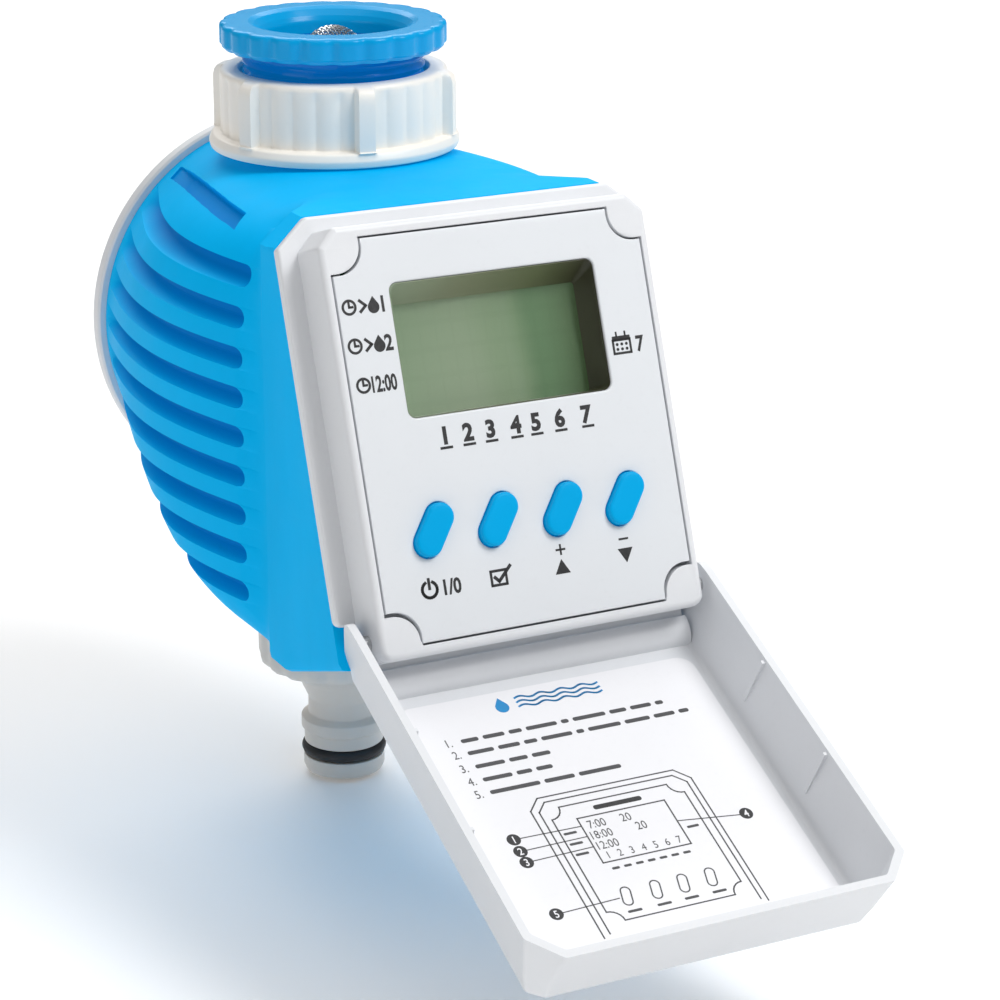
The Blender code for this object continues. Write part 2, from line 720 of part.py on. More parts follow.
def make_swivel_nut():
    ring = []
    for i in range(6):
        start = -99 + 60 * i
        ring += arc(0, 0, NUT_R + 1.7, start - 4.6, start + 4.6, 2)
        ring += arc(0, 0, NUT_R, start + 5.2, start + 54.8, 6)
    nut = slab("nut", ring, NUT_FOOT + 1.0, NUT_TOP)
    flange = rod("flange", (0, 0, NUT_FOOT), (0, 0, NUT_FOOT + 2.6), NUT_FLANGE_R, 40)
    nut = fuse(nut, flange)
    grip = SPIGOT_R + 2 * RUN
    bore = turned("bore", [(0, 0), (17.2, 0), (17.2, -19.4), (grip, -19.4), (grip, -30), (0, -30)], 32)
    nut = cut(nut, bore)
    finish(nut, "swivel_nut", "white_plastic")
    washer = turned("washer", [(9.6, -13.9), (15.8, -13.9), (15.8, -16.3), (9.6, -16.3)], 28)
    finish(washer, "inlet_washer", "black_rubber")


def make_inlet_adaptor():
    rim = slab("rim", lobed(RIM_R, RIM_LOBES, 0.55, 8), -4.7, 0.0)
    neck = rod("neck", (0, 0, -3.0), (0, 0, -13.6), NECK_R, 32)
    bore = turned(
        "bore",
        [
            (0, 2), (15.4, 2), (15.4, 0), (14.0, -0.6), (13.2, -2.2), (13.2, -11.7), (9.6, -11.7), (9.6, -16),
            (0, -16),
        ],
        32,
    )
    adaptor = cut(fuse(rim, neck), bore)
    finish(adaptor, "inlet_adaptor", "blue_plastic")
    dome_r, dome_z, seat_z, thick = 6.2, -6.8, -10.6, 0.6
    outside = arc(0, dome_z, dome_r, 90, 0, 4)
    seat = [(dome_r, seat_z), (12.9, seat_z), (12.9, seat_z - 0.8), (dome_r - thick, seat_z - 0.8)]
    inside = arc(0, dome_z, dome_r - thick, 0, 90, 4)
    mesh = turned("filter", outside + seat + inside, 24)
    finish(mesh, "inlet_filter", "steel")


# ---------------------------------------------------------------- valve


def make_valve_body():
    outer = [
        (0, -16.6), (16.2, -16.6), (16.2, -19.1), (SPIGOT_R, -19.1), (SPIGOT_R, -27.4), (15.5, -27.4),
        (15.5, -29.6), (SPIGOT_R, -29.6), (SPIGOT_R, -43.0), (14.5, -45.5), (14.5, -80.0), (0, -80.0),
    ]
    body = turned("valve", outer, 28)
    boss = rod("stem_boss", (0, -8, BALL_Z), (0, -18.0, BALL_Z), 7.0, 20)
    screw_z = [BALL_Z + side * TRAY_SCREW_RISE for side in (-1, 1)]
    mounts = [rod("mount", (0, 9, z), (0, 14.6, z), 3.0, 12) for z in screw_z]
    body = fuse(body, boss, *mounts)
    bore = turned(
        "bore",
        [
            (0, 0), (8.5, 0), (8.5, -38), (6.2, -41), (6.2, -49.2), (CHAMBER_R, -49.2), (CHAMBER_R, -90),
            (0, -90),
        ],
        28,
    )
    stem_hole = rod("stem_hole", (0, 0, BALL_Z), (0, -22, BALL_Z), STEM_R + RUN, 24)
    seal_pocket = rod("seal_pocket", (0, -15.4, BALL_Z), (0, -22, BALL_Z), 5.3, 24)
    screw_holes = [rod("screw_hole", (0, 12, z), (0, 20, z), 1.0 + RUN, 12) for z in screw_z]
    body = cut(body, bore, stem_hole, seal_pocket, *screw_holes)
    finish(body, "valve_body", "inner_plastic")


def ring_seal(name, material, centre, section, at, axis, sides=24, around=6):
    bead = arc(centre, 0, section, 90, -270 + 360 / around, around - 1)
    finish(turned(name, bead, sides, at, axis), name, material)


def make_seals():
    for name, side in (("ball_seat_upper", 1), ("ball_seat_lower", -1)):
        section = [(5.3, 10.5), (10.5, 10.5), (10.5, 4.9), (8.8, 4.7), (7.2, 6.9), (5.3, 8.6)]
        seat = [(radius, side * rise) for radius, rise in section]
        if side < 0:
            seat.reverse()
        finish(turned(name, seat, 24, (0, 0, BALL_Z)), name, "seal_white")
    ring_seal("stem_seal", "black_rubber", 4.15, 0.95, (0, -16.9, BALL_Z), "Y", 24)
    ring_seal("chamber_seal", "black_rubber", 9.9, 0.85, (0, 0, -77.2), "Z")
    ring_seal("outlet_o_ring", "black_rubber", 7.15, 1.15, (0, 0, -143.5), "Z", 28, 8)


def make_ball():
    bm = bmesh.new()
    bmesh.ops.create_uvsphere(bm, u_segments=20, v_segments=12, radius=BALL_R)
    bmesh.ops.translate(bm, vec=(0, 0, BALL_Z), verts=bm.verts)
    ball = from_bmesh("ball", bm)
    bore = rod("bore", (-15, 0, BALL_Z), (15, 0, BALL_Z), BALL_BORE, 24)
    slot = block("slot", (-3.4, -12, BALL_Z - 1.3), (3.4, -7.0, BALL_Z + 1.3))
    ball = cut(ball, bore, slot)
    finish(on_axis(ball, (0, 0, BALL_Z)), "valve_ball", "brass")
    stem = rod("stem", (0, -9.7, BALL_Z), (0, -27.9, BALL_Z), STEM_R, 24)
    tongue = block("tongue", (-2.6, -10.2, BALL_Z - 1.0), (2.6, -7.6, BALL_Z + 1.0))
    flat = block("flat", (-4, -30, BALL_Z + 2.2), (4, -20.7, BALL_Z + 4))
    stem = cut(fuse(stem, tongue), flat)
    finish(on_axis(stem, (0, 0, BALL_Z)), "valve_stem", "inner_plastic")


def make_outlet_spout():
    outer = [
        (0, -74.6), (10.6, -74.6), (10.6, -76.0), (8.9, -76.0), (8.9, -78.4), (10.6, -78.4), (10.6, -80.3),
        (12.5, -80.3), (12.5, -92.0), (15.6, -96.5), (15.6, -123.4), (14.9, -125.0), (11.4, -126.6),
        (8.6, -129.2), (6.9, -132.6), (6.9, -135.9), (8.3, -137.0), (8.3, -139.3), (7.8, -139.6),
        (7.8, -142.2), (5.9, -142.2), (5.9, -144.8), (7.95, -144.8), (7.95, -147.3), (7.4, TIP_Z), (0, TIP_Z),
    ]
    spout = turned("spout", outer, 28)
    collar = slab("collar", lobed(COLLAR_R, 20, 0.5, 3), COLLAR_FOOT, COLLAR_TOP)
    bore = turned("bore", [(0, -60), (5.2, -60), (5.2, -130), (4.7, -134), (4.7, -160), (0, -160)], 24)
    finish(cut(fuse(spout, collar), bore), "outlet_spout", "nozzle_plastic")


# ---------------------------------------------------------------- drive train


def gear_outline(teeth, phase=0.0):
    """Involute teeth by formula, slightly thinned for backlash; phase turns the gear in degrees."""
    pressure = math.radians(20)
    pitch_r = MODULE * teeth / 2
    base_r = pitch_r * math.cos(pressure)
    tip_r = pitch_r + 0.65 * MODULE
    root_r = pitch_r - 0.92 * MODULE
    backlash = 0.09
    half = math.pi / (2 * teeth) - backlash / pitch_r
    spread = math.tan(pressure) - pressure

    def flank(radius):
        if radius <= base_r:
            return half + spread
        open_angle = math.acos(base_r / radius)
        return half + spread - (math.tan(open_angle) - open_angle)

    stations = [root_r, pitch_r, tip_r]
    ring = []
    for i in range(teeth):
        middle = math.radians(phase) + 2 * math.pi * i / teeth
        for sign, radii in ((-1, stations), (1, stations[::-1])):
            for radius in radii:
                a = middle + sign * flank(radius)
                ring.append((radius * math.cos(a), radius * math.sin(a)))
    return ring


def gear(name, teeth, x, front, back, phase=0.0):
    """A spur gear about an axis along Y, between two y positions."""
    blank = slab(name, gear_outline(teeth, phase), -back, -front)
    blank.rotation_euler = (math.radians(90), 0, 0)
    blank.location = (x * MM, 0, BALL_Z * MM)
    return blank


def make_gears():
    half_tooth = {teeth: 180.0 / teeth for teeth in (VALVE_TEETH, IDLER_TEETH, PINION_TEETH)}
    valve = gear("valve_gear", VALVE_TEETH, 0, -24.0, -21.0)
    shaft = rod("bore", (0, -30, BALL_Z), (0, -15, BALL_Z), STEM_R + RUN, 24)
    keep = block("keep", (-5, -31, BALL_Z + 2.2 + RUN), (5, -14, BALL_Z + 6))
    valve = cut(valve, cut(shaft, keep))
    finish(on_axis(valve, (0, 0, BALL_Z)), "valve_gear", "gear_plastic")

    small = gear("idler_small", PINION_TEETH, IDLER_X, -24.7, -21.0, 180 - half_tooth[PINION_TEETH])
    large = gear("idler_large", IDLER_TEETH, IDLER_X, -27.3, -24.6)
    idler = fuse(small, large)
    idler = cut(idler, rod("bore", (IDLER_X, -30, BALL_Z), (IDLER_X, -15, BALL_Z), 1.0 + RUN, 16))
    finish(on_axis(idler, (IDLER_X, 0, BALL_Z)), "idler_gear", "gear_plastic")
    finish(rod("axle", (IDLER_X, -29.9, BALL_Z), (IDLER_X, -18.4, BALL_Z), 1.0, 16), "idler_axle", "steel")

    pinion = gear("pinion", PINION_TEETH, MOTOR_X, -27.4, -24.5, 180 - half_tooth[PINION_TEETH])
    pinion = cut(pinion, rod("bore", (MOTOR_X, -30, BALL_Z), (MOTOR_X, -15, BALL_Z), 0.75 + RUN, 16))
    finish(on_axis(pinion, (MOTOR_X, 0, BALL_Z)), "motor_pinion", "brass")
    shaft = rod("shaft", (MOTOR_X, -27.9, BALL_Z), (MOTOR_X, -10.5, BALL_Z), 0.75, 16)
    finish(on_axis(shaft, (MOTOR_X, 0, BALL_Z)), "motor_shaft", "steel")


def make_gearbox():
    low_x, low_z, high_x, high_z = GEARBOX
    plate = block("plate", (low_x, -20.3, low_z), (high_x, -18.3, high_z))
    plate = cut(
        plate,
        rod("stem_way", (0, -30, BALL_Z), (0, -10, BALL_Z), STEM_R + 0.4, 24),
        rod("axle_way", (IDLER_X, -30, BALL_Z), (IDLER_X, -10, BALL_Z), 1.0 + RUN, 16),
        rod("shaft_way", (MOTOR_X, -30, BALL_Z), (MOTOR_X, -10, BALL_Z), 3.2, 20),
        *[rod("way", (x, -30, z), (x, -10, z), 1.1, 12) for x, z in GEARBOX_SCREWS],
    )
    finish(plate, "gearbox_plate", "inner_plastic")
    cover = block("cover", (low_x, -30.8, low_z), (high_x, -20.6, high_z))
    hollow = block("hollow", (low_x + 1.6, -29.2, low_z + 1.6), (high_x - 1.6, -15, high_z - 1.6))
    cover = cut(cover, hollow)
    posts = [rod("post", (x, -30.0, z), (x, -20.9, z), 2.2, 12) for x, z in GEARBOX_SCREWS]
    cover = fuse(cover, *posts)
    cover = cut(
        cover,
        rod("axle_way", (IDLER_X, -30.2, BALL_Z), (IDLER_X, -10, BALL_Z), 1.0 + RUN, 16),
        *[rod("way", (x, -40, z), (x, -10, z), 1.1, 12) for x, z in GEARBOX_SCREWS],
    )
    finish(cover, "gearbox_cover", "inner_plastic")
    screws = []
    for x, z in GEARBOX_SCREWS:
        shank = rod("shank", (x, -31.6, z), (x, -18.6, z), 1.0, 12)
        screws.append(fuse(shank, rod("head", (x, -32.4, z), (x, -31.1, z), 2.0, 12)))
    finish_each(screws, "gearbox_screw", "steel")


def make_motor():
    can = rod("can", (MOTOR_X, -18.0, BALL_Z), (MOTOR_X, 3.0, BALL_Z), 9.0, 28)
    for side in (-1, 1):
        low, high = sorted((MOTOR_X + side * 7.3, MOTOR_X + side * 12))
        can = cut(can, block("flat", (low, -30, BALL_Z - 12), (high, 12, BALL_Z + 12)))
    boss = rod("boss", (MOTOR_X, -19.8, BALL_Z), (MOTOR_X, -17.0, BALL_Z), 2.8, 20)
    terminal = block("terminals", (MOTOR_X - 4, 2.8, BALL_Z - 1.5), (MOTOR_X + 4, 4.2, BALL_Z + 1.5))
    can = fuse(can, boss, terminal)
    can = cut(can, rod("bore", (MOTOR_X, -25, BALL_Z), (MOTOR_X, -10.0, BALL_Z), 0.75 + RUN, 16))
    finish(can, "drive_motor", "steel")


# ---------------------------------------------------------------- batteries and rear cover


def make_battery_tray():
    half_x, half_z, floor = 25.6, 12.9, 1.2
    front = 15.0
    well_x, well_z = half_x - 1.2, half_z - 1.2
    tray = block("tray", (-half_x, front, BALL_Z - half_z), (half_x, CELL_Y + 1.5, BALL_Z + half_z))
    well = block("well", (-well_x, front + floor, BALL_Z - well_z), (well_x, 40, BALL_Z + well_z))
    tray = cut(tray, well)
    lugs = [
        block("lug", (-4, front + 0.1, min(a, b)), (4, front + 1.8, max(a, b)))
        for a, b in [(BALL_Z + s * (half_z - 0.4), BALL_Z + s * 19.5) for s in (-1, 1)]
    ]
    tray = fuse(tray, *lugs)
    screw_z = [BALL_Z + s * TRAY_SCREW_RISE for s in (-1, 1)]
    ways = [rod("way", (0, 0, z), (0, 40, z), 1.15, 12) for z in screw_z]
    finish(cut(tray, *ways), "battery_tray", "inner_plastic")
    screws = []
    for z in screw_z:
        shank = rod("shank", (0, 12.4, z), (0, 18.0, z), 1.0, 12)
        screws.append(fuse(shank, rod("head", (0, 17.1, z), (0, 18.5, z), 2.0, 12)))
    finish_each(screws, "tray_screw", "steel")
    for name, s in (("battery_upper", 1), ("battery_lower", -1)):
        z = BALL_Z + s * CELL_RISE
        half = CELL_LONG / 2
        cell = rod("cell", (-s * half, CELL_Y, z), (s * (half - 1.0), CELL_Y, z), CELL_R, 24)
        cap = rod("cap", (s * (half - 1.5), CELL_Y, z), (s * half, CELL_Y, z), 1.9, 16)
        finish(fuse(cell, cap), name, "cell_wrap")


def make_contacts():
    plates = []
    springs = []
    inner = 25.6 - 1.2
    for s in (-1, 1):
        z = BALL_Z + s * CELL_RISE
        low, high = sorted((s * (inner - 0.3), s * (inner - 0.8)))
        plates.append(block("plate", (low, CELL_Y - 4.0, z - 3.6), (high, CELL_Y + 4.0, z + 3.6)))
        turns, per_turn = 2.5, 10
        steps = int(turns * per_turn)
        start, end = -s * (inner - 0.75), -s * (CELL_LONG / 2 + 0.65)
        coil = []
        for i in range(steps + 1):
            a = 2 * math.pi * i / per_turn
            r = 3.4 - 1.0 * i / steps
            coil.append((start + (end - start) * i / steps, CELL_Y + r * math.cos(a), z + r * math.sin(a)))
        springs.append(wire("coil", coil, 0.3, 1))
    finish_each(plates, "contact_plate", "steel")
    finish_each(springs, "contact_spring", "steel")


def sector_cutter(name, inner, outer, low_y, high_y, start, end):
    """A wedge of a ring about the rear cover's axis, for bayonet gaps and lugs."""
    steps = 3
    far = arc(0, 0, outer, start, end, steps)
    near = arc(0, 0, inner, end, start, steps)
    wedge = slab(name, far + near, -high_y, -low_y)
    wedge.rotation_euler = (math.radians(90), 0, 0)
    wedge.location = (0, 0, REAR_Z * MM)
    return wedge


def make_rear():
    at = (0, 0, REAR_Z)
    ring = turned("bayonet", [(32.5, 25.7), (34.0, 25.7), (34.0, 22.9), (32.5, 22.9)], 36, at, "Y")
    gaps = [sector_cutter("gap", 30, 33.4, 20, 28, 90 + 120 * i + 18, 90 + 120 * i + 46) for i in range(3)]
    finish(cut(ring, *gaps), "bayonet_ring", "inner_plastic")
    gasket = turned("gasket", [(34.8, 27.3), (36.6, 27.3), (36.6, 26.3), (34.8, 26.3)], 36, at, "Y")
    finish(gasket, "cover_gasket", "black_rubber")
    profile = [
        (0, 30.6), (20.0, 30.5), (33.0, 30.2), (37.2, 29.6), (38.3, 28.6), (38.3, 26.3), (37.2, 26.3),
        (37.2, 27.6), (32.1, 27.6), (32.1, 19.6), (30.6, 19.6), (30.6, 27.6), (0, 27.6),
    ]
    cover = turned("cover", profile, 36, at, "Y")
    middles = [90 + 120 * i for i in range(3)]
    lugs = [sector_cutter("lug", 31.2, 33.0, 19.6, 22.4, middle - 11, middle + 11) for middle in middles]
    bar = slab("bar", rounded(-24, -4.5, 24, 4.5, 4.4, 5), -35.0, -29.0)
    bar.rotation_euler = (math.radians(90), 0, 0)
    bar.location = (0, 0, REAR_Z * MM)
    cover = fuse(cover, bar, *lugs)
    finish(on_axis(cover, at), "rear_cover", "white_plastic")


def make_leads():
    routes = []
    for lift in (0.0, 2.4):
        z = -68.0 - lift
        routes.append([
            (-20, 14.4, z), (-21.5, 12, z), (-23.5, 6, z), (-24, -8, z), (-24, -24, z),
            (-23, -40, z), (-21, -52, z), (-19.5, -60, z), (-19, -62.6, z),
        ])
    finish_each([wire("lead", route, 0.7) for route in routes], "battery_lead", "lead_red")


clear_scene()
PARTS = new_collection("drip_irrigation_timer")
CUTTERS = new_collection("cutters")
CUTTERS.hide_render = True
MATERIAL = {name: new_material(name) for name in MATERIALS}
PANEL = new_frame("panel_frame", PANEL_AT, 90 - PANEL_TILT)
LID = new_frame("lid_frame", LID_AT, LID_TILT)
HINGE_AT = lid_point(0, PIN_ALONG, -PIN_DEPTH)
hinge_in_panel = PANEL.matrix_world.inverted() @ (HINGE_AT * MM) / MM
PIN_V = hinge_in_panel.y
PIN_H = hinge_in_panel.z

make_body_shell()
make_front_bezel()
make_front_plate()
make_display()
make_buttons()
make_keypad()
make_circuit_board()
make_bezel_gasket()
make_lid()
make_hinge_pins()
make_swivel_nut()
make_inlet_adaptor()
make_valve_body()
make_seals()
make_ball()
make_outlet_spout()
make_gears()
make_gearbox()
make_motor()
make_battery_tray()
make_contacts()
make_rear()
make_leads()
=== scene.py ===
"""Looks of the drip irrigation timer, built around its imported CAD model.

The frame is in metres: +Z up along the inlet, -Y to the front, origin on the inlet axis at the adaptor's top.
The pieces' sizes below are in millimetres, and the mesh builders turn them into metres. The places of the
materials, the floor, the lights and the camera are in metres.
"""

import json
from math import acos, ceil, cos, degrees, hypot, pi, radians, sin, sqrt, tan

import bmesh
import bpy
import numpy as np
from mathutils import Matrix, Vector
from mathutils.geometry import tessellate_polygon


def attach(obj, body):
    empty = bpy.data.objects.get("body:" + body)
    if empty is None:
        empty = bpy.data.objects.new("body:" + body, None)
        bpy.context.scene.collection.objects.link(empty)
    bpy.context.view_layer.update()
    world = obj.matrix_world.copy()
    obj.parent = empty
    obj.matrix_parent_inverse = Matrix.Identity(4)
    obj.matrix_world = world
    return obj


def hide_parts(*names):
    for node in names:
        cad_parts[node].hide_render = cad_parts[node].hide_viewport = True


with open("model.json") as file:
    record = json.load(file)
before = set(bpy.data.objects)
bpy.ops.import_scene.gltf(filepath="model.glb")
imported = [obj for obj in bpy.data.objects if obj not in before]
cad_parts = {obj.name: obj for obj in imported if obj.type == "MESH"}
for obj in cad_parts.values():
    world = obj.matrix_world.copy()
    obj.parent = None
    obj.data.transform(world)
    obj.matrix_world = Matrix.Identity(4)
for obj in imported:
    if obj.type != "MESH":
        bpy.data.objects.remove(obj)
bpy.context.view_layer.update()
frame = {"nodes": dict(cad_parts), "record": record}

MM = 0.001

# ---------------------------------------------------------------- frames of the two flat assemblies

PANEL_AT = Vector((0.0, -73.26, -56.71))
PANEL_TILT = radians(20.13)
LID_AT = Vector((0.0, -80.14, -85.53))
LID_TILT = radians(24.54)
PANEL = Matrix.Translation(PANEL_AT * MM) @ Matrix.Rotation(pi / 2 - PANEL_TILT, 4, "X")
LID = Matrix.Translation(LID_AT * MM) @ Matrix.Rotation(LID_TILT, 4, "X")
WORLD = Matrix.Identity(4)


def facing_back(z):
    """A frame about an axis along Y at this height: x across, y up and z towards the back."""
    return Matrix.Translation((0, 0, z * MM)) @ Matrix(((-1, 0, 0, 0), (0, 0, 1, 0), (0, 1, 0, 0), (0, 0, 0, 1)))


def linked(name, data):
    """A new object of some data, in the scene."""
    obj = bpy.data.objects.new(name, data)
    bpy.context.scene.collection.objects.link(obj)
    return obj


def share_of(value, low, high):
    """How far a value has come from low to high, held between 0 and 1."""
    return min(max((value - low) / (high - low), 0.0), 1.0)


# ---------------------------------------------------------------- outlines


def around(count):
    """Angles all the way round."""
    return np.linspace(0, 2 * pi, count, endpoint=False)


def arc(cx, cy, radius, start, end, steps):
    turn = np.radians(np.linspace(start, end, steps + 1))
    return [(cx + radius * cos(a), cy + radius * sin(a)) for a in turn]


def rounded(low_x, low_y, high_x, high_y, radius, steps=8):
    ring = arc(high_x - radius, high_y - radius, radius, 0, 90, steps)
    ring += arc(low_x + radius, high_y - radius, radius, 90, 180, steps)
    ring += arc(low_x + radius, low_y + radius, radius, 180, 270, steps)
    ring += arc(high_x - radius, low_y + radius, radius, 270, 360, steps)
    return ring


def mirrored(right):
    """A right-hand half outline, joined by its reflection."""
    return right + [(-x, y) for x, y in reversed(right)]


def stadium(cx, cy, radius, reach, lean, steps=16):
    ring = arc(0, reach, radius, 0, 180, steps) + arc(0, -reach, radius, 180, 360, steps)
    c, s = cos(radians(-lean)), sin(radians(-lean))
    return [(cx + x * c - y * s, cy + x * s + y * c) for x, y in ring]


def filleted(points, radius, steps=5):
    """A closed polygon with its corners rounded off; radius may be a list, one for each corner."""
    count = len(points)
    radii = [radius] * count if isinstance(radius, (int, float)) else radius
    ring = []
    for i, (x, y) in enumerate(points):
        here = np.array((x, y), float)
        before = np.array(points[i - 1], float) - here
        after = np.array(points[(i + 1) % count], float) - here
        if radii[i] <= 0:
            ring.append((x, y))
            continue
        before_long, after_long = np.linalg.norm(before), np.linalg.norm(after)
        before /= before_long
        after /= after_long
        half = acos(max(-1.0, min(1.0, float(before @ after)))) / 2
        reach = min(radii[i] / tan(half), 0.48 * before_long, 0.48 * after_long)
        start, end = here + before * reach, here + after * reach
        for k in range(steps + 1):
            t = k / steps
            ring.append(tuple((1 - t) ** 2 * start + 2 * t * (1 - t) * here + t * t * end))
    return ring


def offset(ring, distance):
    """The closed outline moved inwards by a distance; it runs anticlockwise."""
    points = np.array(ring, float)
    keep = np.linalg.norm(points - np.roll(points, 1, 0), axis=1) > 1e-6
    points = points[keep]
    edge = np.roll(points, -1, 0) - points
    edge /= np.linalg.norm(edge, axis=1)[:, None]
    normal = np.stack([-edge[:, 1], edge[:, 0]], 1)
    before = np.roll(normal, 1, 0)
    middle = normal + before
    middle /= np.maximum((middle * normal).sum(1), 0.35)[:, None]
    return [tuple(p) for p in points + middle * distance]


# ---------------------------------------------------------------- mesh builders


def new_object(name, points, faces, matrix=WORLD, smooth=True):
    """A mesh object from points in millimetres of a frame; the frame is applied to the mesh."""
    mesh = bpy.data.meshes.new(name)
    mesh.from_pydata([tuple(np.array(p, float) * MM) for p in points], [], faces)
    mesh.transform(matrix)
    bm = bmesh.new()
    bm.from_mesh(mesh)
    bmesh.ops.remove_doubles(bm, verts=bm.verts, dist=2e-6)
    bmesh.ops.recalc_face_normals(bm, faces=bm.faces)
    bm.to_mesh(mesh)
    bm.free()
    if smooth:
        mesh.shade_smooth()
    return linked(name, mesh)


def bands(rings, count, closed=False, start=0):
    """Faces between neighbouring rings of count points each; closed also joins the last ring to the first."""
    faces = []
    for a in range(rings if closed else rings - 1):
        low, high = start + a * count, start + (a + 1) % rings * count
        faces += [(low + i, low + (i + 1) % count, high + (i + 1) % count, high + i) for i in range(count)]
    return faces


def ends(rings, count):
    """Faces that close the first and the last ring."""
    return [tuple(range(count))[::-1], tuple((rings - 1) * count + i for i in range(count))]


def fill(loops):
    """Triangles, as indices into the loops taken one after another, that cover a flat outline with holes."""
    return [tuple(t) for t in tessellate_polygon([[Vector((x, y, 0)) for x, y in loop] for loop in loops])]


def relief(name, outline, profile, holes, matrix, shape=None):
    """A plate with shaped edges.

    profile holds (inset, height) rows from the back to the front of its outer wall, and each hole is
    (outline, rows) whose rows run from the back to the front of its own wall, inset into the material.
    """
    points, faces, back, front = [], [], [], []
    for ring, rows, sign in [(outline, profile, 1), *[(ring, rows, -1) for ring, rows in holes]]:
        loops = []
        for inset, height in rows:
            loop = offset(ring, sign * inset)
            start = len(points)
            points += [(x, y, height) for x, y in loop]
            loops.append((start, loop))
        faces += bands(len(rows), len(loops[0][1]), start=loops[0][0])
        back.append(loops[0])
        front.append(loops[-1])
    for cap in (back, front):
        index = [start + i for start, loop in cap for i in range(len(loop))]
        faces += [tuple(index[k] for k in t) for t in fill([loop for _, loop in cap])]
    if shape is not None:
        points = [shape(*p) for p in points]
    return new_object(name, points, faces, matrix)


def edge_rows(low, high, radius, back_radius=0.0, steps=5):
    """Rows for relief(): a straight wall whose front edge, and maybe back edge, is rounded."""
    rows = []
    if back_radius > 0:
        rows += [(back_radius * (1 - sin(a)), low + back_radius * (1 - cos(a)))
                 for a in np.linspace(0, pi / 2, steps + 1)]
    else:
        rows.append((0.0, low))
    rows += [(radius * (1 - cos(a)), high - radius * (1 - sin(a)))
             for a in np.linspace(0, pi / 2, steps + 1)]
    return rows


def polar(name, profile, count, bend=None, matrix=WORLD):
    """A turned ring: profile is a closed loop of (radius, height, tag); bend(angle, radius, height, tag)
    gives the radius and height at an angle, for lobes, ribs and threads."""
    angles = around(count)
    points = []
    for a in angles:
        for radius, height, tag in profile:
            r, z = (radius, height) if bend is None else bend(a, radius, height, tag)
            points.append((r * cos(a), r * sin(a), z))
    rows = len(profile)
    faces = []
    for i in range(count):
        j = (i + 1) % count
        for k in range(rows):
            m = (k + 1) % rows
            faces.append((i * rows + k, j * rows + k, j * rows + m, i * rows + m))
    return new_object(name, points, faces, matrix)


def softened(corners):
    """A profile of (radius, height, fillet, tag) corners made into (radius, height, tag) points."""
    steps = 4
    ring = filleted([(r, z) for r, z, _, _ in corners], [f for _, _, f, _ in corners], steps)
    tags = []
    for _, _, f, tag in corners:
        tags += [tag] * (steps + 1 if f > 0 else 1)
    return [(r, z, tag) for (r, z), tag in zip(ring, tags)]


def divided(profile, longest):
    """Adds points along the closed profile's straight stretches."""
    out = []
    for (r0, z0, tag0), (r1, z1, tag1) in zip(profile, profile[1:] + profile[:1]):
        steps = max(1, int(ceil(hypot(r1 - r0, z1 - z0) / longest)))
        for k in range(steps):
            t = k / steps
            out.append((r0 + (r1 - r0) * t, z0 + (z1 - z0) * t, tag0 if t < 0.5 else tag1))
    return out


def tube(name, path, radius, loop=False):
    """A round wire along points, kept from twisting."""
    sides = 4
    path = [Vector(p) for p in path]
    points = []
    side = None
    for i, here in enumerate(path):
        after = path[(i + 1) % len(path)] if loop or i + 1 < len(path) else here
        before = path[i - 1] if loop or i > 0 else here
        along = (after - before).normalized()
        if side is None:
            side = along.orthogonal().normalized()
        side = (side - along * side.dot(along)).normalized()
        up = along.cross(side)
        for k in range(sides):
            a = 2 * pi * k / sides
            points.append(here + side * (radius * cos(a)) + up * (radius * sin(a)))
    return new_object(name, points, bands(len(path), sides, loop) + ([] if loop else ends(len(path), sides)))


# faces of a block whose corners run low to high, slowest axis first
BOX_FACES = [(0, 1, 3, 2), (4, 6, 7, 5), (0, 4, 5, 1), (2, 3, 7, 6), (0, 2, 6, 4), (1, 5, 7, 3)]


def joined(name, objs):
    """Several closed meshes as one object."""
    bm = bmesh.new()
    for obj in objs:
        bm.from_mesh(obj.data)
    mesh = bpy.data.meshes.new(name)
    bm.to_mesh(mesh)
    bm.free()
    mesh.shade_smooth()
    for obj in objs:
        bpy.data.objects.remove(obj, do_unlink=True)
    return linked(name, mesh)


def applied(obj):
    """Bakes the modifiers into the mesh."""
    bpy.context.view_layer.update()
    graph = bpy.context.evaluated_depsgraph_get()
    mesh = bpy.data.meshes.new_from_object(obj.evaluated_get(graph))
    obj.modifiers.clear()
    obj.data = mesh
    return obj


def boolean(target, tools, operation):
    for tool in tools:
        modifier = target.modifiers.new("boolean", "BOOLEAN")
        modifier.operation = operation
        modifier.solver = "MANIFOLD"
        modifier.object = tool
        applied(target)
        bpy.data.objects.remove(tool, do_unlink=True)
    return target


def cut(target, *tools):
    return boolean(target, tools, "DIFFERENCE")


def fuse(target, *tools):
    return boolean(target, tools, "UNION")


def soften_edges(obj, width, angle):
    """Rounds every edge sharper than an angle."""
    bm = bmesh.new()
    bm.from_mesh(obj.data)
    bmesh.ops.remove_doubles(bm, verts=bm.verts, dist=4e-6)
    bmesh.ops.dissolve_limit(bm, angle_limit=radians(0.6), verts=bm.verts, edges=bm.edges)
    bm.to_mesh(obj.data)
    bm.free()
    bevel = obj.modifiers.new("soft_edges", "BEVEL")
    bevel.width = width * MM
    bevel.segments = 3
    bevel.limit_method = "ANGLE"
    bevel.angle_limit = radians(angle)
    bevel.use_clamp_overlap = True
    return applied(obj)


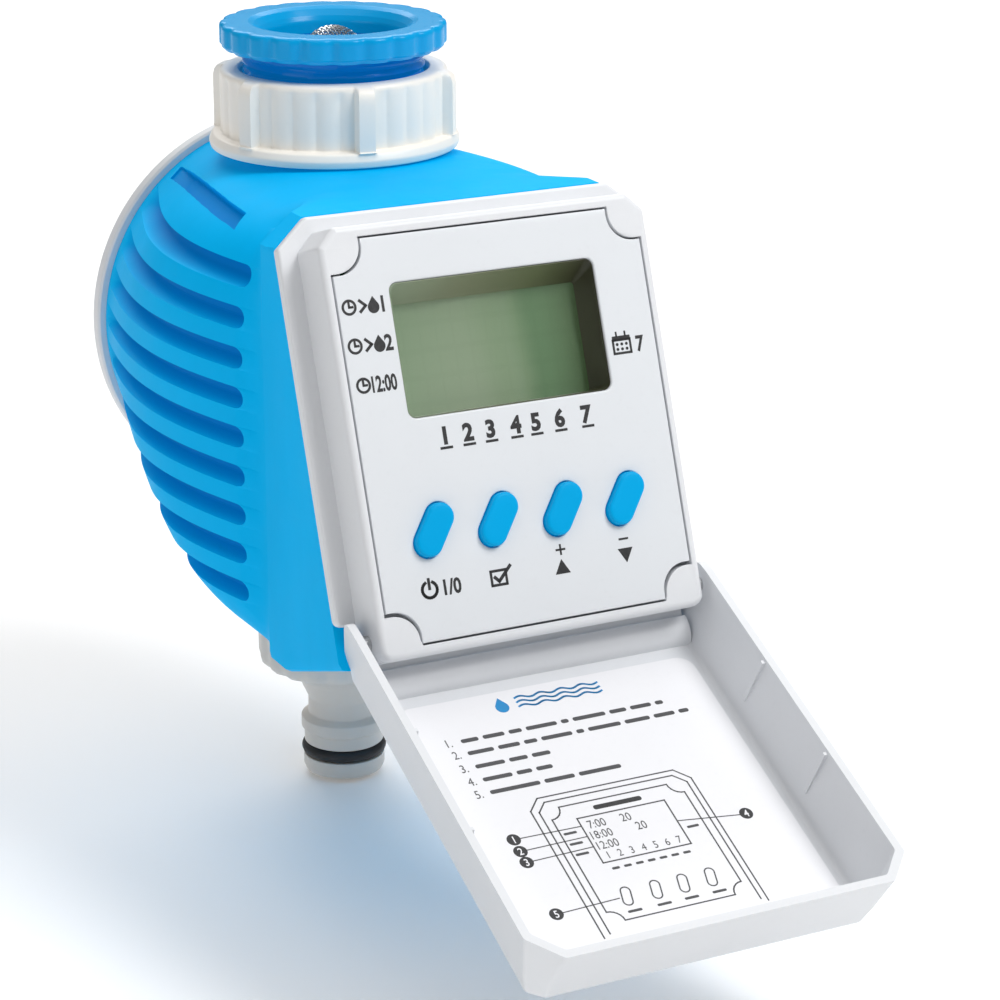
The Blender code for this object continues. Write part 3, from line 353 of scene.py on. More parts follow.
def place(obj, body, slot, *nodes, look=None, sharp=38):
    """Gives the piece its shading, its body and the material of its slot or look, and hides the CAD nodes it stands
    for.

    look names the material where it isn't the slot's own.
    """
    obj.data.shade_smooth()
    obj.data.set_sharp_from_angle(angle=radians(sharp))
    weighted = obj.modifiers.new("weighted_normals", "WEIGHTED_NORMAL")
    weighted.keep_sharp = True
    weighted.weight = 60
    obj.data.materials.clear()
    obj.data.materials.append(M[look or slot])
    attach(obj, body)
    if nodes:
        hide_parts(*nodes)


# ---------------------------------------------------------------- materials


def srgb(r, g, b):
    return tuple(c / 12.92 if c <= 0.04045 else ((c + 0.055) / 1.055) ** 2.4 for c in (r / 255, g / 255, b / 255))


# where the display lies across the object and in height, in metres
DISPLAY_SPAN = (-0.0195, 0.0195)
DISPLAY_RISE = (-0.0545, -0.0335)


class Nodes:
    """A small helper that wires a material's nodes."""

    def __init__(self, name):
        self.material = bpy.data.materials.new(name)
        self.material.use_nodes = True
        self.tree = self.material.node_tree
        self.shader = self.tree.nodes["Principled BSDF"]
        self.place = self.add("ShaderNodeTexCoord").outputs["Object"]

    def add(self, kind, **values):
        """A node; each value is one of its properties, or else one of its inputs, spaces as underscores."""
        node = self.tree.nodes.new(kind)
        for key, value in values.items():
            if hasattr(node, key):
                setattr(node, key, value)
            else:
                self.put(value, node.inputs[key.replace("_", " ")])
        return node

    def link(self, output, target):
        self.tree.links.new(output, target)

    def put(self, value, socket):
        """Links a socket to this one, or sets this one's own number or colour."""
        if isinstance(value, bpy.types.NodeSocket):
            self.link(value, socket)
        elif isinstance(value, tuple) and len(value) == 3 and socket.type == "RGBA":
            socket.default_value = (*value, 1.0)
        else:
            socket.default_value = value

    def surface(self, **values):
        """Sets or links the shader's inputs and gives back the material."""
        for key, value in values.items():
            self.put(value, self.shader.inputs[key.replace("_", " ")])
        return self.material

    def noise(self, scale, detail, roughness=0.55, vector=None):
        return self.add("ShaderNodeTexNoise", Scale=scale, Detail=detail, Roughness=roughness,
                        Vector=self.place if vector is None else vector).outputs["Fac"]

    def uneven(self, scale, detail, low, high):
        """A value that wanders between two limits."""
        return self.span(self.noise(scale, detail), low, high)

    def ramp(self, value, stops, mode="LINEAR"):
        node = self.add("ShaderNodeValToRGB")
        node.color_ramp.interpolation = mode
        elements = node.color_ramp.elements
        while len(elements) < len(stops):
            elements.new(0.5)
        for element, (at, colour) in zip(elements, stops):
            element.position = at
            element.color = (*colour, 1.0)
        self.link(value, node.inputs["Fac"])
        return node.outputs["Color"]

    def span(self, value, low, high):
        return self.add("ShaderNodeMapRange", Value=value, To_Min=low, To_Max=high).outputs["Result"]

    def along(self, axis, low, high):
        """0 to 1 along an axis of the object, between two places in metres."""
        split = self.add("ShaderNodeSeparateXYZ", Vector=self.place)
        return self.add("ShaderNodeMapRange", Value=split.outputs[axis], From_Min=low, From_Max=high).outputs["Result"]

    def scaled(self, scale):
        return self.add("ShaderNodeMapping", Scale=scale, Vector=self.place).outputs["Vector"]

    def mix(self, fac, a, b, mode="MIX"):
        node = self.add("ShaderNodeMix")
        node.data_type = "RGBA"
        node.blend_type = mode
        for value, socket in ((fac, node.inputs["Factor"]), (a, node.inputs[6]), (b, node.inputs[7])):
            self.put(value, socket)
        return node.outputs[2]

    def bricks(self, scale, mortar_size, offset, *colours):
        node = self.add("ShaderNodeTexBrick", offset=offset, Scale=scale, Mortar_Size=mortar_size, Vector=self.place)
        for name, colour in zip(("Color1", "Color2", "Mortar"), colours):
            self.put(colour, node.inputs[name])
        return node

    def bump(self, height, strength, distance, normal=None):
        node = self.add("ShaderNodeBump", Strength=strength, Distance=distance, Height=height)
        if normal is not None:
            self.link(normal, node.inputs["Normal"])
        return node.outputs["Normal"]


def moulded(name, colour, rough, grain, drift, grain_scale=2600, specular=0.5, coat=0.0, scatter=0.0, glow=None,
            groove=None, deep=None):
    """Moulded plastic: slow colour drift, faint flow marks, a fine spark-eroded grain and uneven gloss.

    groove is a painted shade inside the housing's grooves and slots, and deep a (height, colour) of painted shade for
    what lies below that height.
    """
    n = Nodes(name)
    shade = tuple(c * (1 - drift * 2.2) for c in colour)
    light = tuple(min(1.0, c * (1 + drift)) for c in colour)
    flow = n.noise(38, 4, 0.6, n.scaled((1.0, 1.0, 0.35)))
    base = n.ramp(flow, [(0.25, shade), (0.6, colour), (0.9, light)])
    speck = n.ramp(n.noise(900, 2, 0.5), [(0.0, (0.93, 0.93, 0.93)), (0.42, (1, 1, 1))])
    base = n.mix(0.5, base, speck, "MULTIPLY")
    # painted shade in the housing's grooves and slots, weighted by the groove attribute
    if groove is not None:
        base = n.mix(n.add("ShaderNodeAttribute", attribute_name="groove").outputs["Fac"], base, groove)
    # painted shade below a height, for the adaptor's neck under its rim
    if deep is not None:
        split = n.add("ShaderNodeSeparateXYZ", Vector=n.place)
        below = n.add("ShaderNodeMath", operation="LESS_THAN")
        n.link(split.outputs["Z"], below.inputs[0])
        below.inputs[1].default_value = deep[0]
        base = n.mix(below.outputs[0], base, deep[1])
    fine = n.bump(n.noise(grain_scale, 2, 0.6), grain, 0.00012)
    n.surface(Base_Color=base, Roughness=n.uneven(120, 3, rough * 0.82, rough * 1.2),
              Normal=n.bump(n.noise(55, 2), 0.05, 0.0004, fine),
              Specular_IOR_Level=specular, Coat_Weight=coat, Coat_Roughness=0.12)
    # a faint self-glow: painted light that brightens the plastic, which is no lamp
    if glow is not None:
        n.surface(Emission_Color=glow, Emission_Strength=0.18)
    if scatter:
        n.surface(Subsurface_Weight=scatter, Subsurface_Radius=(1.0, 0.9, 0.8), Subsurface_Scale=0.0012)
    return n.material


def metal(name, colour, rough):
    """Brushed metal."""
    n = Nodes(name)
    grain = n.noise(420, 3, 0.6, n.scaled((1, 1, 30)))
    return n.surface(Base_Color=n.ramp(grain, [(0.2, tuple(c * 0.82 for c in colour)), (0.8, colour)]),
                     Roughness=n.uneven(300, 2, rough * 0.75, rough * 1.35), Normal=n.bump(grain, 0.08, 0.0001),
                     Metallic=1.0)


def rubber(name, colour):
    """Rubber with a little dust on it."""
    n = Nodes(name)
    grey = tuple(min(1.0, c * 1.7 + 0.006) for c in colour)
    return n.surface(Base_Color=n.ramp(n.noise(160, 4, 0.65), [(0.35, colour), (0.85, grey)]),
                     Roughness=n.uneven(700, 2, 0.55 * 0.85, 0.55 * 1.15),
                     Normal=n.bump(n.noise(1900, 2), 0.12, 0.0001))


def ink(name, colour):
    """Screen-printed ink: faintly uneven cover."""
    n = Nodes(name)
    pale = tuple(c * 0.8 + 0.03 for c in colour)
    return n.surface(Base_Color=n.ramp(n.noise(1500, 3, 0.6), [(0.3, colour), (0.85, pale)]),
                     Roughness=n.uneven(600, 2, 0.34, 0.5))


def clear(name):
    n = Nodes(name)
    return n.surface(Base_Color=(0.93, 0.97, 0.94), Transmission_Weight=1.0, IOR=1.49,
                     Roughness=n.uneven(260, 3, 0.0, 0.035), Normal=n.bump(n.noise(30, 2), 0.02, 0.0003))


def lcd(name):
    """The unlit display: grey-green, with a painted reflection that makes it paler to the left and the foot, and a hint
    of its electrode pattern.
    """
    n = Nodes(name)
    # the painted reflection: paler to the left, with a wandering edge
    wavy = n.add("ShaderNodeMath", operation="ADD")
    n.link(n.along("X", *DISPLAY_SPAN), wavy.inputs[0])
    n.link(n.uneven(55, 2, -0.05, 0.05), wavy.inputs[1])
    base = n.ramp(wavy.outputs[0], [
        (0.0, srgb(160, 178, 150)), (0.38, srgb(166, 180, 154)), (0.58, srgb(152, 170, 140)),
        (0.74, srgb(112, 142, 106)), (1.0, srgb(86, 108, 72))], "EASE")
    base = n.mix(n.span(n.along("Z", *DISPLAY_RISE), 0.0, 0.35), base, srgb(128, 152, 120))
    ghost = n.bricks(160, 0.03, 0.0, (1, 1, 1), (1, 1, 1), (0.955, 0.96, 0.955))
    base = n.mix(0.6, base, ghost.outputs["Color"], "MULTIPLY")
    # the emission is painted light, since the display itself is unlit
    return n.surface(Base_Color=base, Emission_Color=base, Emission_Strength=0.28,
                     Roughness=n.uneven(200, 2, 0.16, 0.26))


def frame_shade(name):
    """The display's olive frame: its olive tint is a painted reflection of the display, and painted shade deepens it
    towards its right-hand wall.
    """
    n = Nodes(name)
    tone = n.ramp(n.along("X", *DISPLAY_SPAN), [
        (0.0, srgb(150, 165, 140)), (0.35, srgb(128, 136, 108)), (0.72, srgb(98, 108, 74)), (1.0, srgb(44, 42, 24))])
    patch = n.ramp(n.noise(180, 3), [(0.3, (0.92, 0.92, 0.92)), (0.8, (1, 1, 1))])
    return n.surface(Base_Color=n.mix(0.7, tone, patch, "MULTIPLY"), Roughness=n.uneven(400, 2, 0.3, 0.42),
                     Normal=n.bump(n.noise(2200, 2), 0.05, 0.0001))


def printed_board(name):
    n = Nodes(name)
    tracks = n.bricks(260, 0.06, 0.5, (0.010, 0.13, 0.045), (0.014, 0.16, 0.055), (0.03, 0.27, 0.10))
    return n.surface(Base_Color=tracks.outputs["Color"], Roughness=n.uneven(300, 2, 0.3, 0.5),
                     Normal=n.bump(tracks.outputs["Fac"], 0.2, 0.0001))


BLUE = (0.0, 0.41, 0.78)
# GLOW is the colour of the painted light that the blue plastics give off
GLOW = (0.0, 0.42, 0.95)
WHITE = (0.76, 0.775, 0.80)
M = {}


def skin(slot, maker, *values, **more):
    """Makes a material and keeps it under the name of its slot or look."""
    M[slot] = maker(slot + "_skin", *values, **more)


# glow is painted light on the blues; groove paints shade in the housing's grooves and slots
skin("blue_plastic", moulded, BLUE, 0.5, 0.08, 0.04, 2400, specular=0.03, glow=GLOW,
     groove=(0.0, 0.11, 0.42))
skin("button_blue", moulded, (0.0, 0.31, 0.60), 0.42, 0.05, 0.03, specular=0.08, glow=GLOW)
# deep paints shade on the adaptor's neck below its rim
skin("adaptor_blue", moulded, (0.0, 0.27, 0.55), 0.24, 0.03, 0.03, specular=0.2, glow=GLOW,
     deep=(-0.0047, srgb(0, 78, 175)))
skin("white_plastic", moulded, WHITE, 0.42, 0.07, 0.012, 2800)
skin("nut_white", moulded, (0.94, 0.90, 0.83), 0.40, 0.05, 0.012)
skin("panel_plastic", moulded, (0.745, 0.77, 0.80), 0.40, 0.05, 0.008, 3600)
skin("nozzle_plastic", moulded, srgb(215, 211, 205), 0.36, 0.05, 0.02, scatter=0.2)
skin("surround_plastic", frame_shade)
skin("inner_plastic", moulded, (0.60, 0.62, 0.64), 0.45, 0.1, 0.03)
skin("gear_plastic", moulded, (0.80, 0.77, 0.67), 0.38, 0.05, 0.02, scatter=0.1)
skin("seal_white", moulded, (0.83, 0.83, 0.80), 0.4, 0.04, 0.01)
skin("label_paper", moulded, (0.86, 0.86, 0.885), 0.46, 0.03, 0.006, 4200)
skin("chip_black", moulded, (0.016, 0.016, 0.018), 0.42, 0.12, 0.1)
skin("cell_wrap", moulded, (0.08, 0.17, 0.32), 0.28, 0.02, 0.05, coat=0.2)
skin("lead_red", moulded, (0.5, 0.025, 0.02), 0.45, 0.05, 0.05)
skin("black_rubber", rubber, (0.012, 0.012, 0.013))
skin("grey_silicone", rubber, (0.27, 0.28, 0.29))
skin("steel", metal, (0.62, 0.63, 0.64), 0.28)
skin("brass", metal, (0.72, 0.53, 0.24), 0.3)
skin("clear_window", clear)
skin("display_glass", lcd)
skin("circuit_green", printed_board)
skin("ink_black", ink, (0.018, 0.018, 0.02))
skin("ink_grey", ink, (0.06, 0.06, 0.065))
skin("ink_blue", ink, srgb(0, 140, 205))

# CAD nodes that stay as they are get the material of their slot
for entry in frame["record"]["subparts"]:
    node = frame["nodes"][entry["node"]]
    node.data.materials.clear()
    node.data.materials.append(M[entry["material_slot"]])

# ---------------------------------------------------------------- housing

HOUSING_W = 34.3
HOUSING_TOP = -23.2
HOUSING_FOOT = -103.7
# the tilted mouth, in the panel's frame, and how far below an outline's top its shoulder starts
MOUTH_TOP = 39.65
MOUTH_FOOT = -37.0
MOUTH_DEPTH = -10.8
EDGE = 0.005
CREASE_Y = -45.5
REAR_Y = 26.0
REAR_Z = -60.0
REAR_R = 36.8
BARREL_Z = -67.3
WALL = 2.4
# the grooves in the sides: tops, height, mesh rows as shares of the height, depth, and where along Y they start,
# begin to fade and end
GROOVE_TOPS = [-26.3 - 7.15 * k for k in range(1, 10)]
GROOVE_H = 3.9
GROOVE_ROWS = (0.04, 0.12, 0.25, 0.4, 0.52, 0.6, 0.67, 0.74, 0.81, 0.88, 0.94, 1.0, 1.06)
GROOVE_DEEP = 3.1
GROOVE_FRONT = -40.3
GROOVE_FADES = 15.0
GROOVE_GONE = 23.0
GROOVE_END_R = 2.3
# mesh rows of the housing's top, shoulder and foot
TOP_ROWS = 26
SHOULDER_ROWS = 10
FOOT_ROWS = 34


def side_levels():
    """Heights of the mesh rows down the side, packed round each groove's edges."""
    levels = [-27.5 - 0.6 * k for k in range(9)]
    for top in GROOVE_TOPS:
        levels += [top + 0.12, top + 0.04, top, top - 0.02]
        levels += [top - GROOVE_H * s for s in GROOVE_ROWS]
        levels += [top - GROOVE_H - d for d in ((0.8, 1.6, 2.4) if top > GROOVE_TOPS[-1] else (0.5, 1.0))]
    return sorted(set(round(z, 4) for z in levels), reverse=True)


def barrel(y):
    """The barrel's section at a place along Y: half width, foot, centre, and the powers of its two curves."""
    t = share_of(y, CREASE_Y, REAR_Y)
    width = HOUSING_W + (REAR_R - HOUSING_W) * t + 6.5 * sin(pi * t**0.96)
    foot = HOUSING_FOOT + (REAR_Z - REAR_R - HOUSING_FOOT) * t**2
    centre = BARREL_Z + (REAR_Z - BARREL_Z) * t
    return width, foot, centre, 2.0 + 2.7 * (1 - t) ** 1.2, 2.0 + 7.5 * (1 - t) ** 2.2


def barrel_outline(y):
    """Dense half outline of the barrel, from the top centre round the +x side to the bottom centre."""
    width, foot, centre, upper, lower = barrel(y)
    a = np.radians(np.concatenate([np.linspace(90, 0, 500), np.linspace(0, -90, 500)[1:]]))
    c, s = np.cos(a), np.sin(a)
    up = s >= 0
    power = np.where(up, upper, lower)
    reach = np.where(up, HOUSING_TOP - centre, centre - foot)
    r = ((np.abs(c) / width) ** power + (np.abs(s) / reach) ** power) ** (-1 / power)
    return np.stack([r * c, centre + r * s], 1)


def collar_outline(low, high):
    """Dense half outline of the squared collar, in the same order."""
    chamfer_x, chamfer_y, foot_r = 5.8, 4.9, 1.4
    points = [(0.0, high), (HOUSING_W - chamfer_x, high), (HOUSING_W, high - chamfer_y)]
    points += arc(HOUSING_W - foot_r, low + foot_r, foot_r, 0, -90, 8)
    points.append((0.0, low))
    dense = []
    for p, q in zip(points, points[1:]):
        steps = max(2, int(hypot(q[0] - p[0], q[1] - p[1]) / 0.2))
        dense += [(p[0] + (q[0] - p[0]) * k / steps, p[1] + (q[1] - p[1]) * k / steps) for k in range(steps)]
    return np.array(dense + [points[-1]])


def stretch(points, count):
    """The polyline resampled at equal steps of length, ends kept."""
    d = np.concatenate([[0], np.cumsum(np.linalg.norm(np.diff(points, axis=0), axis=1))])
    at = np.linspace(0, d[-1], count)
    return np.stack([np.interp(at, d, points[:, 0]), np.interp(at, d, points[:, 1])], 1)


def half_rows(outline, levels, shoulder_z):
    """Resamples a half outline: top, shoulder, the fixed levels of the side, then the foot."""
    z = outline[:, 1]
    side_x = np.interp(-np.array(levels), -z, outline[:, 0])

    def at_height(height):
        i = int(np.argmax(z <= height))
        i = max(i, 1)
        share = (z[i - 1] - height) / max(z[i - 1] - z[i], 1e-9)
        return i, outline[i - 1] + (outline[i] - outline[i - 1]) * share

    first, corner = at_height(shoulder_z)
    second, start = at_height(levels[0])
    last, end = at_height(levels[-1])
    top = stretch(np.vstack([outline[:first], corner]), TOP_ROWS)
    shoulder = stretch(np.vstack([corner, outline[first:second], start]), SHOULDER_ROWS)[1:-1]
    side = np.stack([side_x, np.array(levels)], 1)
    foot = stretch(np.vstack([end, outline[last:]]), FOOT_ROWS)[1:]
    return np.vstack([top, shoulder, side, foot])


def groove_depth(y, levels):
    """How far the side is cut in at each level, for a column at this y."""
    depth = np.zeros(len(levels))
    front = share_of(y, GROOVE_FRONT, GROOVE_FRONT + 0.35)
    if front <= 0:
        return depth
    fade = share_of(y, GROOVE_GONE, GROOVE_FADES) ** 0.7
    for top in GROOVE_TOPS:
        for i, z in enumerate(levels):
            s = (top - z) / GROOVE_H
            if s <= 0.0 or s >= 1.0:
                continue
            ramp = 1.0 - share_of(s, 0.62, 1.0) ** 1.5
            depth[i] = GROOVE_DEEP * ramp * fade * front * min(1.0, 0.35 + s / 0.03)
    return depth


def groove_shift(levels):
    """How far back the front end of each groove starts at each level, for its round end."""
    shift = np.full(len(levels), GROOVE_END_R)
    for top in GROOVE_TOPS:
        middle = top - GROOVE_H / 2
        for i, z in enumerate(levels):
            u = abs(z - middle) / (GROOVE_H / 2)
            if u < 1.0:
                shift[i] = GROOVE_END_R * (1 - sqrt(1 - u**2.1))
    return shift


def panel_world(x, v, h):
    """A point of the panel's frame, in the world."""
    up = (sin(PANEL_TILT), cos(PANEL_TILT))
    out = (-cos(PANEL_TILT), sin(PANEL_TILT))
    return np.array([x, PANEL_AT.y + up[0] * v + out[0] * h, PANEL_AT.z + up[1] * v + out[1] * h])


def housing_columns(levels):
    """Half rings of the outer skin from the tilted mouth to the rear, each with its groove mask, which shapes the inner
    skin and sets the painted shade in the grooves.
    """
    upper_rows = TOP_ROWS + SHOULDER_ROWS - 2
    rows = upper_rows + len(levels) + FOOT_ROWS - 1
    side = slice(upper_rows, upper_rows + len(levels))
    tall, mouth_tall = HOUSING_TOP - HOUSING_FOOT, MOUTH_TOP - MOUTH_FOOT
    crease = half_rows(collar_outline(HOUSING_FOOT, HOUSING_TOP), levels, HOUSING_TOP - EDGE)
    share = (crease[:, 1] - HOUSING_FOOT) / tall
    mouth_levels = [(z - HOUSING_FOOT) / tall * mouth_tall + MOUTH_FOOT for z in levels]
    mouth = half_rows(collar_outline(MOUTH_FOOT, MOUTH_TOP), mouth_levels, MOUTH_TOP - EDGE)
    columns = [np.array([panel_world(x, v, MOUTH_DEPTH) for x, v in mouth])]
    for foot_y, top_y in ((-52.0, -47.6), (CREASE_Y - 0.25, CREASE_Y - 0.25), (CREASE_Y, CREASE_Y)):
        columns.append(np.stack([crease[:, 0], foot_y + (top_y - foot_y) * share, crease[:, 1]], 1))
    masks = [np.zeros(rows) for _ in columns]
    shift = np.zeros(rows)
    shift[side] = groove_shift(levels)
    ys = list(np.arange(-45.1, -41.2, 0.8)) + list(np.arange(-41.2, -39.0, 0.175)) + list(np.arange(-39.0, -34, 0.7))
    ys += list(np.arange(-34, 26, 1.7)) + [REAR_Y]
    for y in ys:
        near = share_of(y, -44.5, -41.5) * share_of(y, -32.0, -38.0)
        settle = share_of(y, CREASE_Y, CREASE_Y + 13.0)
        settle = settle * settle * (3 - 2 * settle)
        quick = share_of(y, CREASE_Y, CREASE_Y + 5.0)
        quick *= 2 - quick
        share = np.full(rows, settle)
        share[side] = quick
        share[:upper_rows] += (quick - settle) * np.linspace(0, 1, upper_rows) ** 6
        share[side.stop:] += (quick - settle) * np.linspace(1, 0, rows - side.stop) ** 2
        row_y = y + shift * near
        shoulder = -24.2 + 0.6 * (1 - settle)
        own = half_rows(barrel_outline(y), levels, shoulder)
        if near > 0:
            far = half_rows(barrel_outline(y + GROOVE_END_R * near), levels, shoulder)
            own = own + (far - own) * (shift / GROOVE_END_R)[:, None]
        ring = crease + (own - crease) * share[:, None]
        depth = np.zeros(rows)
        depth[side] = groove_depth(y, levels)
        ring[:, 0] = np.maximum(ring[:, 0] - depth, 0.0)
        columns.append(np.stack([ring[:, 0], row_y, ring[:, 1]], 1))
        masks.append(np.clip(depth / GROOVE_DEEP, 0, 1))
    return columns, masks


def top_slot(side):
    """A cutter for the short slot above the grooves, and the points of its floor; side is 1 or -1."""
    lean, proud, floor_points, points = 1.5, 2.5, [], []
    stations = np.linspace(-28.0, 22.0, 26)
    for y in stations:
        deep = 2.0 - 1.6 * share_of(y, 14.0, 22.0)
        edges = []
        for at, level in ((y, -26.85 - 0.0018 * (y + 17) ** 2), (y - lean, -28.8 - 0.0021 * (y - lean + 14) ** 2)):
            outline = barrel_outline(at)
            i = int(np.argmax(outline[:, 1] <= level))
            edges.append((at, outline[i], outline[i + 3] - outline[i - 3]))
        along = edges[0][2] + edges[1][2]
        out = np.array((-along[1], along[0])) / np.linalg.norm(along)
        for reach, order in ((proud, edges), (-deep, edges[::-1])):
            for at, spot, _ in order:
                x, z = spot + out * reach
                points.append((side * x, at, z))
        floor_points += points[-2:]
    faces = bands(len(stations), 4) + ends(len(stations), 4)
    return new_object("top_slot", points, faces), floor_points


def make_housing():
    """The housing: the outer skin, an inner skin and, cut into them, the outlet's hole and the two top slots."""
    levels = side_levels()
    columns, masks = housing_columns(levels)
    rows = len(columns[0])
    inner = []
    crease = len([c for c in columns if c[0][1] < CREASE_Y + 0.01])
    picks = [len(columns) - 1] + [crease + k for k in range(len(columns) - crease - 8, 4, -8)] + [crease - 1, 1, 0]
    for k in picks:
        ring = columns[k].copy()
        ring[:, 0] += masks[k] * GROOVE_DEEP
        y = float(ring[0][1])
        wall = WALL if y > 18 or y < -44 else WALL + 2.0
        middle = (ring[0][2] + ring[-1][2]) / 2
        half = (ring[0][2] - ring[-1][2]) / 2
        ring[:, 0] *= 1 - wall / ring[:, 0].max()
        ring[:, 2] = middle + (ring[:, 2] - middle) * (1 - WALL / half)
        if k == 0:
            ring[:, 1] = columns[0][:, 1] + (ring[:, 2] - columns[0][:, 2]) * tan(PANEL_TILT)
        inner.append(ring)
    loop = columns + inner
    points, mask = [], []
    for ring, depth in zip(loop, masks + [np.zeros(rows)] * len(inner)):
        left = [(-x, y, z) for x, y, z in ring[1:-1][::-1]]
        points += [tuple(p) for p in ring] + left
        mask += list(depth) + list(depth[1:-1][::-1])
    mesh = bpy.data.meshes.new("housing")
    mesh.from_pydata([tuple(np.array(p) * MM) for p in points], [], bands(len(loop), 2 * rows - 2, True))
    # the groove attribute carries the painted shade in the grooves and slots
    attribute = mesh.attributes.new("groove", "FLOAT", "POINT")
    attribute.data.foreach_set("value", np.array(mask, np.float32))
    bm = bmesh.new()
    bm.from_mesh(mesh)
    bmesh.ops.recalc_face_normals(bm, faces=bm.faces)
    bm.to_mesh(mesh)
    bm.free()
    obj = linked("housing", mesh)
    outlet = polar("outlet_hole", [(0.01, -125, 0), (16.8, -125, 0), (16.8, -80, 0), (0.01, -80, 0)], 96)
    right, right_floor = top_slot(1)
    left, left_floor = top_slot(-1)
    cut(obj, outlet, right, left)
    # the slots' floors get the same painted shade as the grooves
    floor = {tuple(round(c, 2) for c in point) for point in right_floor + left_floor}
    inside = obj.data.attributes["groove"]
    for vertex in obj.data.vertices:
        if tuple(round(c / MM, 2) for c in vertex.co) in floor:
            inside.data[vertex.index].value = 0.7
    place(obj, "housing", "blue_plastic", "body_shell", sharp=22)
    at = np.array([v.co.y for v in obj.data.vertices]) / MM
    for edge in obj.data.edges:
        if all(abs(at[v] - CREASE_Y) < 0.005 for v in edge.vertices):
            edge.use_edge_sharp = True


make_housing()

# ---------------------------------------------------------------- control panel

FLANGE_HALF = 34.5
FLANGE_TOP = 39.3
BLOCK_HALF = 31.2
BLOCK_TOP = 36.6
BLOCK_FOOT = -36.8
WINDOW = (-19.3, 3.1, 19.3, 26.0)
BUTTONS = {"button_power": -18.2, "button_set": -6.15, "button_up": 6.15, "button_down": 18.2}
BUTTON_V = -15.7


def plate_outline(grow):
    """The fascia: a rectangle whose four corners are scooped out."""
    half, tall, notch, lip = 29.0 + grow, 34.0 + grow, 5.8, 1.2
    bow = notch - lip
    corner = [(half, tall - notch)]
    corner += arc(half - lip, tall - lip, bow, 270, 180, 14)
    corner.append((half - notch, tall))
    upper = mirrored(corner)
    return upper + [(-x, -y) for x, y in upper]


def make_bezel():
    half, top = FLANGE_HALF, FLANGE_TOP
    right = [(BLOCK_HALF - 0.6, BLOCK_FOOT - 1.2), (BLOCK_HALF - 0.6, -29.5), (half, -29.5), (half, top - 4.9),
             (half - 5.8, top)]
    soft = filleted(mirrored(right), [0, 0, 1.5, 0.8, 0.8, 0.8, 0.8, 1.5, 0, 0])
    opening = rounded(-26.6, -27.6, 26.6, 31.0, 1.5)
    rows = [(0, -10.5), (0, -8.5)]
    flange = relief("flange", soft, edge_rows(-10.5, -8.5, 0.55, 0.2), [(opening, rows)], PANEL)
    right = [(BLOCK_HALF, BLOCK_FOOT), (BLOCK_HALF, BLOCK_TOP - 3.2), (BLOCK_HALF - 3.2, BLOCK_TOP)]
    soft = filleted(mirrored(right), [2.5, 1.0, 1.0, 1.0, 1.0, 2.5], 8)
    pocket = [(x, y - 0.3 if y < -20 else y) for x, y in plate_outline(0.32)]

    def draft(x, y, z):
        share = max(0.0, (z + 10.0) / 10.0)
        inside = abs(x) < 29.6 and -34.6 < y < 34.6
        lift = 0.5 * share**4 * share_of(-34.6 - y, 0.0, 1.2)
        return (x, y, z) if inside else (x * (1 - 0.016 * share), y * (1 - 0.008 * share) + lift, z)

    rows = [(0.0, -10.3), (0.0, -0.12), (0.04, -0.04), (0.12, 0.0)]
    raised = relief("raised", soft, edge_rows(-10.3, 0.0, 1.0, 0, 7), [(pocket, rows)], PANEL, draft)
    ledge = relief("ledge", offset(soft, 0.5), [(0, -10.2), (0, -2.6)], [(opening, [(0, -10.2), (0, -2.6)])], PANEL)
    spigot = relief("spigot", rounded(-30.4, -31.9, 30.4, 33.9, 3.0), [(0, -15.0), (0, -9.0)],
                    [(rounded(-29.0, -31.3, 29.0, 33.0, 2.0), [(0, -15.0), (0, -9.0)])], PANEL)
    place(joined("bezel", [flange, raised, ledge, spigot]), "housing", "white_plastic", "front_bezel")


def make_front_plate():
    holes = [(rounded(*WINDOW, 1.5, 10), [(0.0, -2.0), (0.0, -0.35), (0.06, -0.16), (0.18, -0.04), (0.36, 0.0)])]
    for x in BUTTONS.values():
        ring = stadium(x, BUTTON_V, 2.62, 2.4, 34.0)
        holes.append((ring, [(0.0, -2.0), (0.0, -0.18), (0.06, -0.06), (0.18, 0.0)]))
    rows = [(0, -2.0), (0, -0.22), (0.07, -0.07), (0.22, 0.0)]
    plate = relief("fascia", plate_outline(0), rows, holes, PANEL)
    place(plate, "housing", "panel_plastic", "front_plate")


def make_display():
    low_x, low_y, high_x, high_y = WINDOW
    outer = rounded(low_x - 1.6, low_y - 1.6, high_x + 1.6, high_y + 1.6, 1.8, 10)
    sleeve = rounded(low_x + 0.09, low_y + 0.09, high_x - 0.09, high_y - 0.09, 1.4, 10)
    rim = rounded(low_x + 0.22, low_y + 0.22, high_x - 0.22, high_y - 0.22, 1.3, 10)
    floor = rounded(low_x + 0.4, low_y + 0.4, 17.3, 22.5, 0.6, 10)
    rings = ((outer, -2.36), (sleeve, -2.36), (sleeve, -0.42), (rim, -0.36), (floor, -4.75), (outer, -4.75))
    points = [(x, y, height) for ring, height in rings for x, y in ring]
    surround = new_object("display_frame", points, bands(len(rings), len(outer), True), PANEL)
    place(surround, "housing", "surround_plastic", "display_surround")
    window = relief("display_lens", outer, edge_rows(-5.9, -4.9, 0.15, 0.15), (), PANEL)
    place(window, "housing", "clear_window", "display_window")
    glass = relief("display_panel", outer, edge_rows(-8.0, -6.2, 0.2, 0.2), (), PANEL)
    place(glass, "housing", "display_glass", "lcd_module")


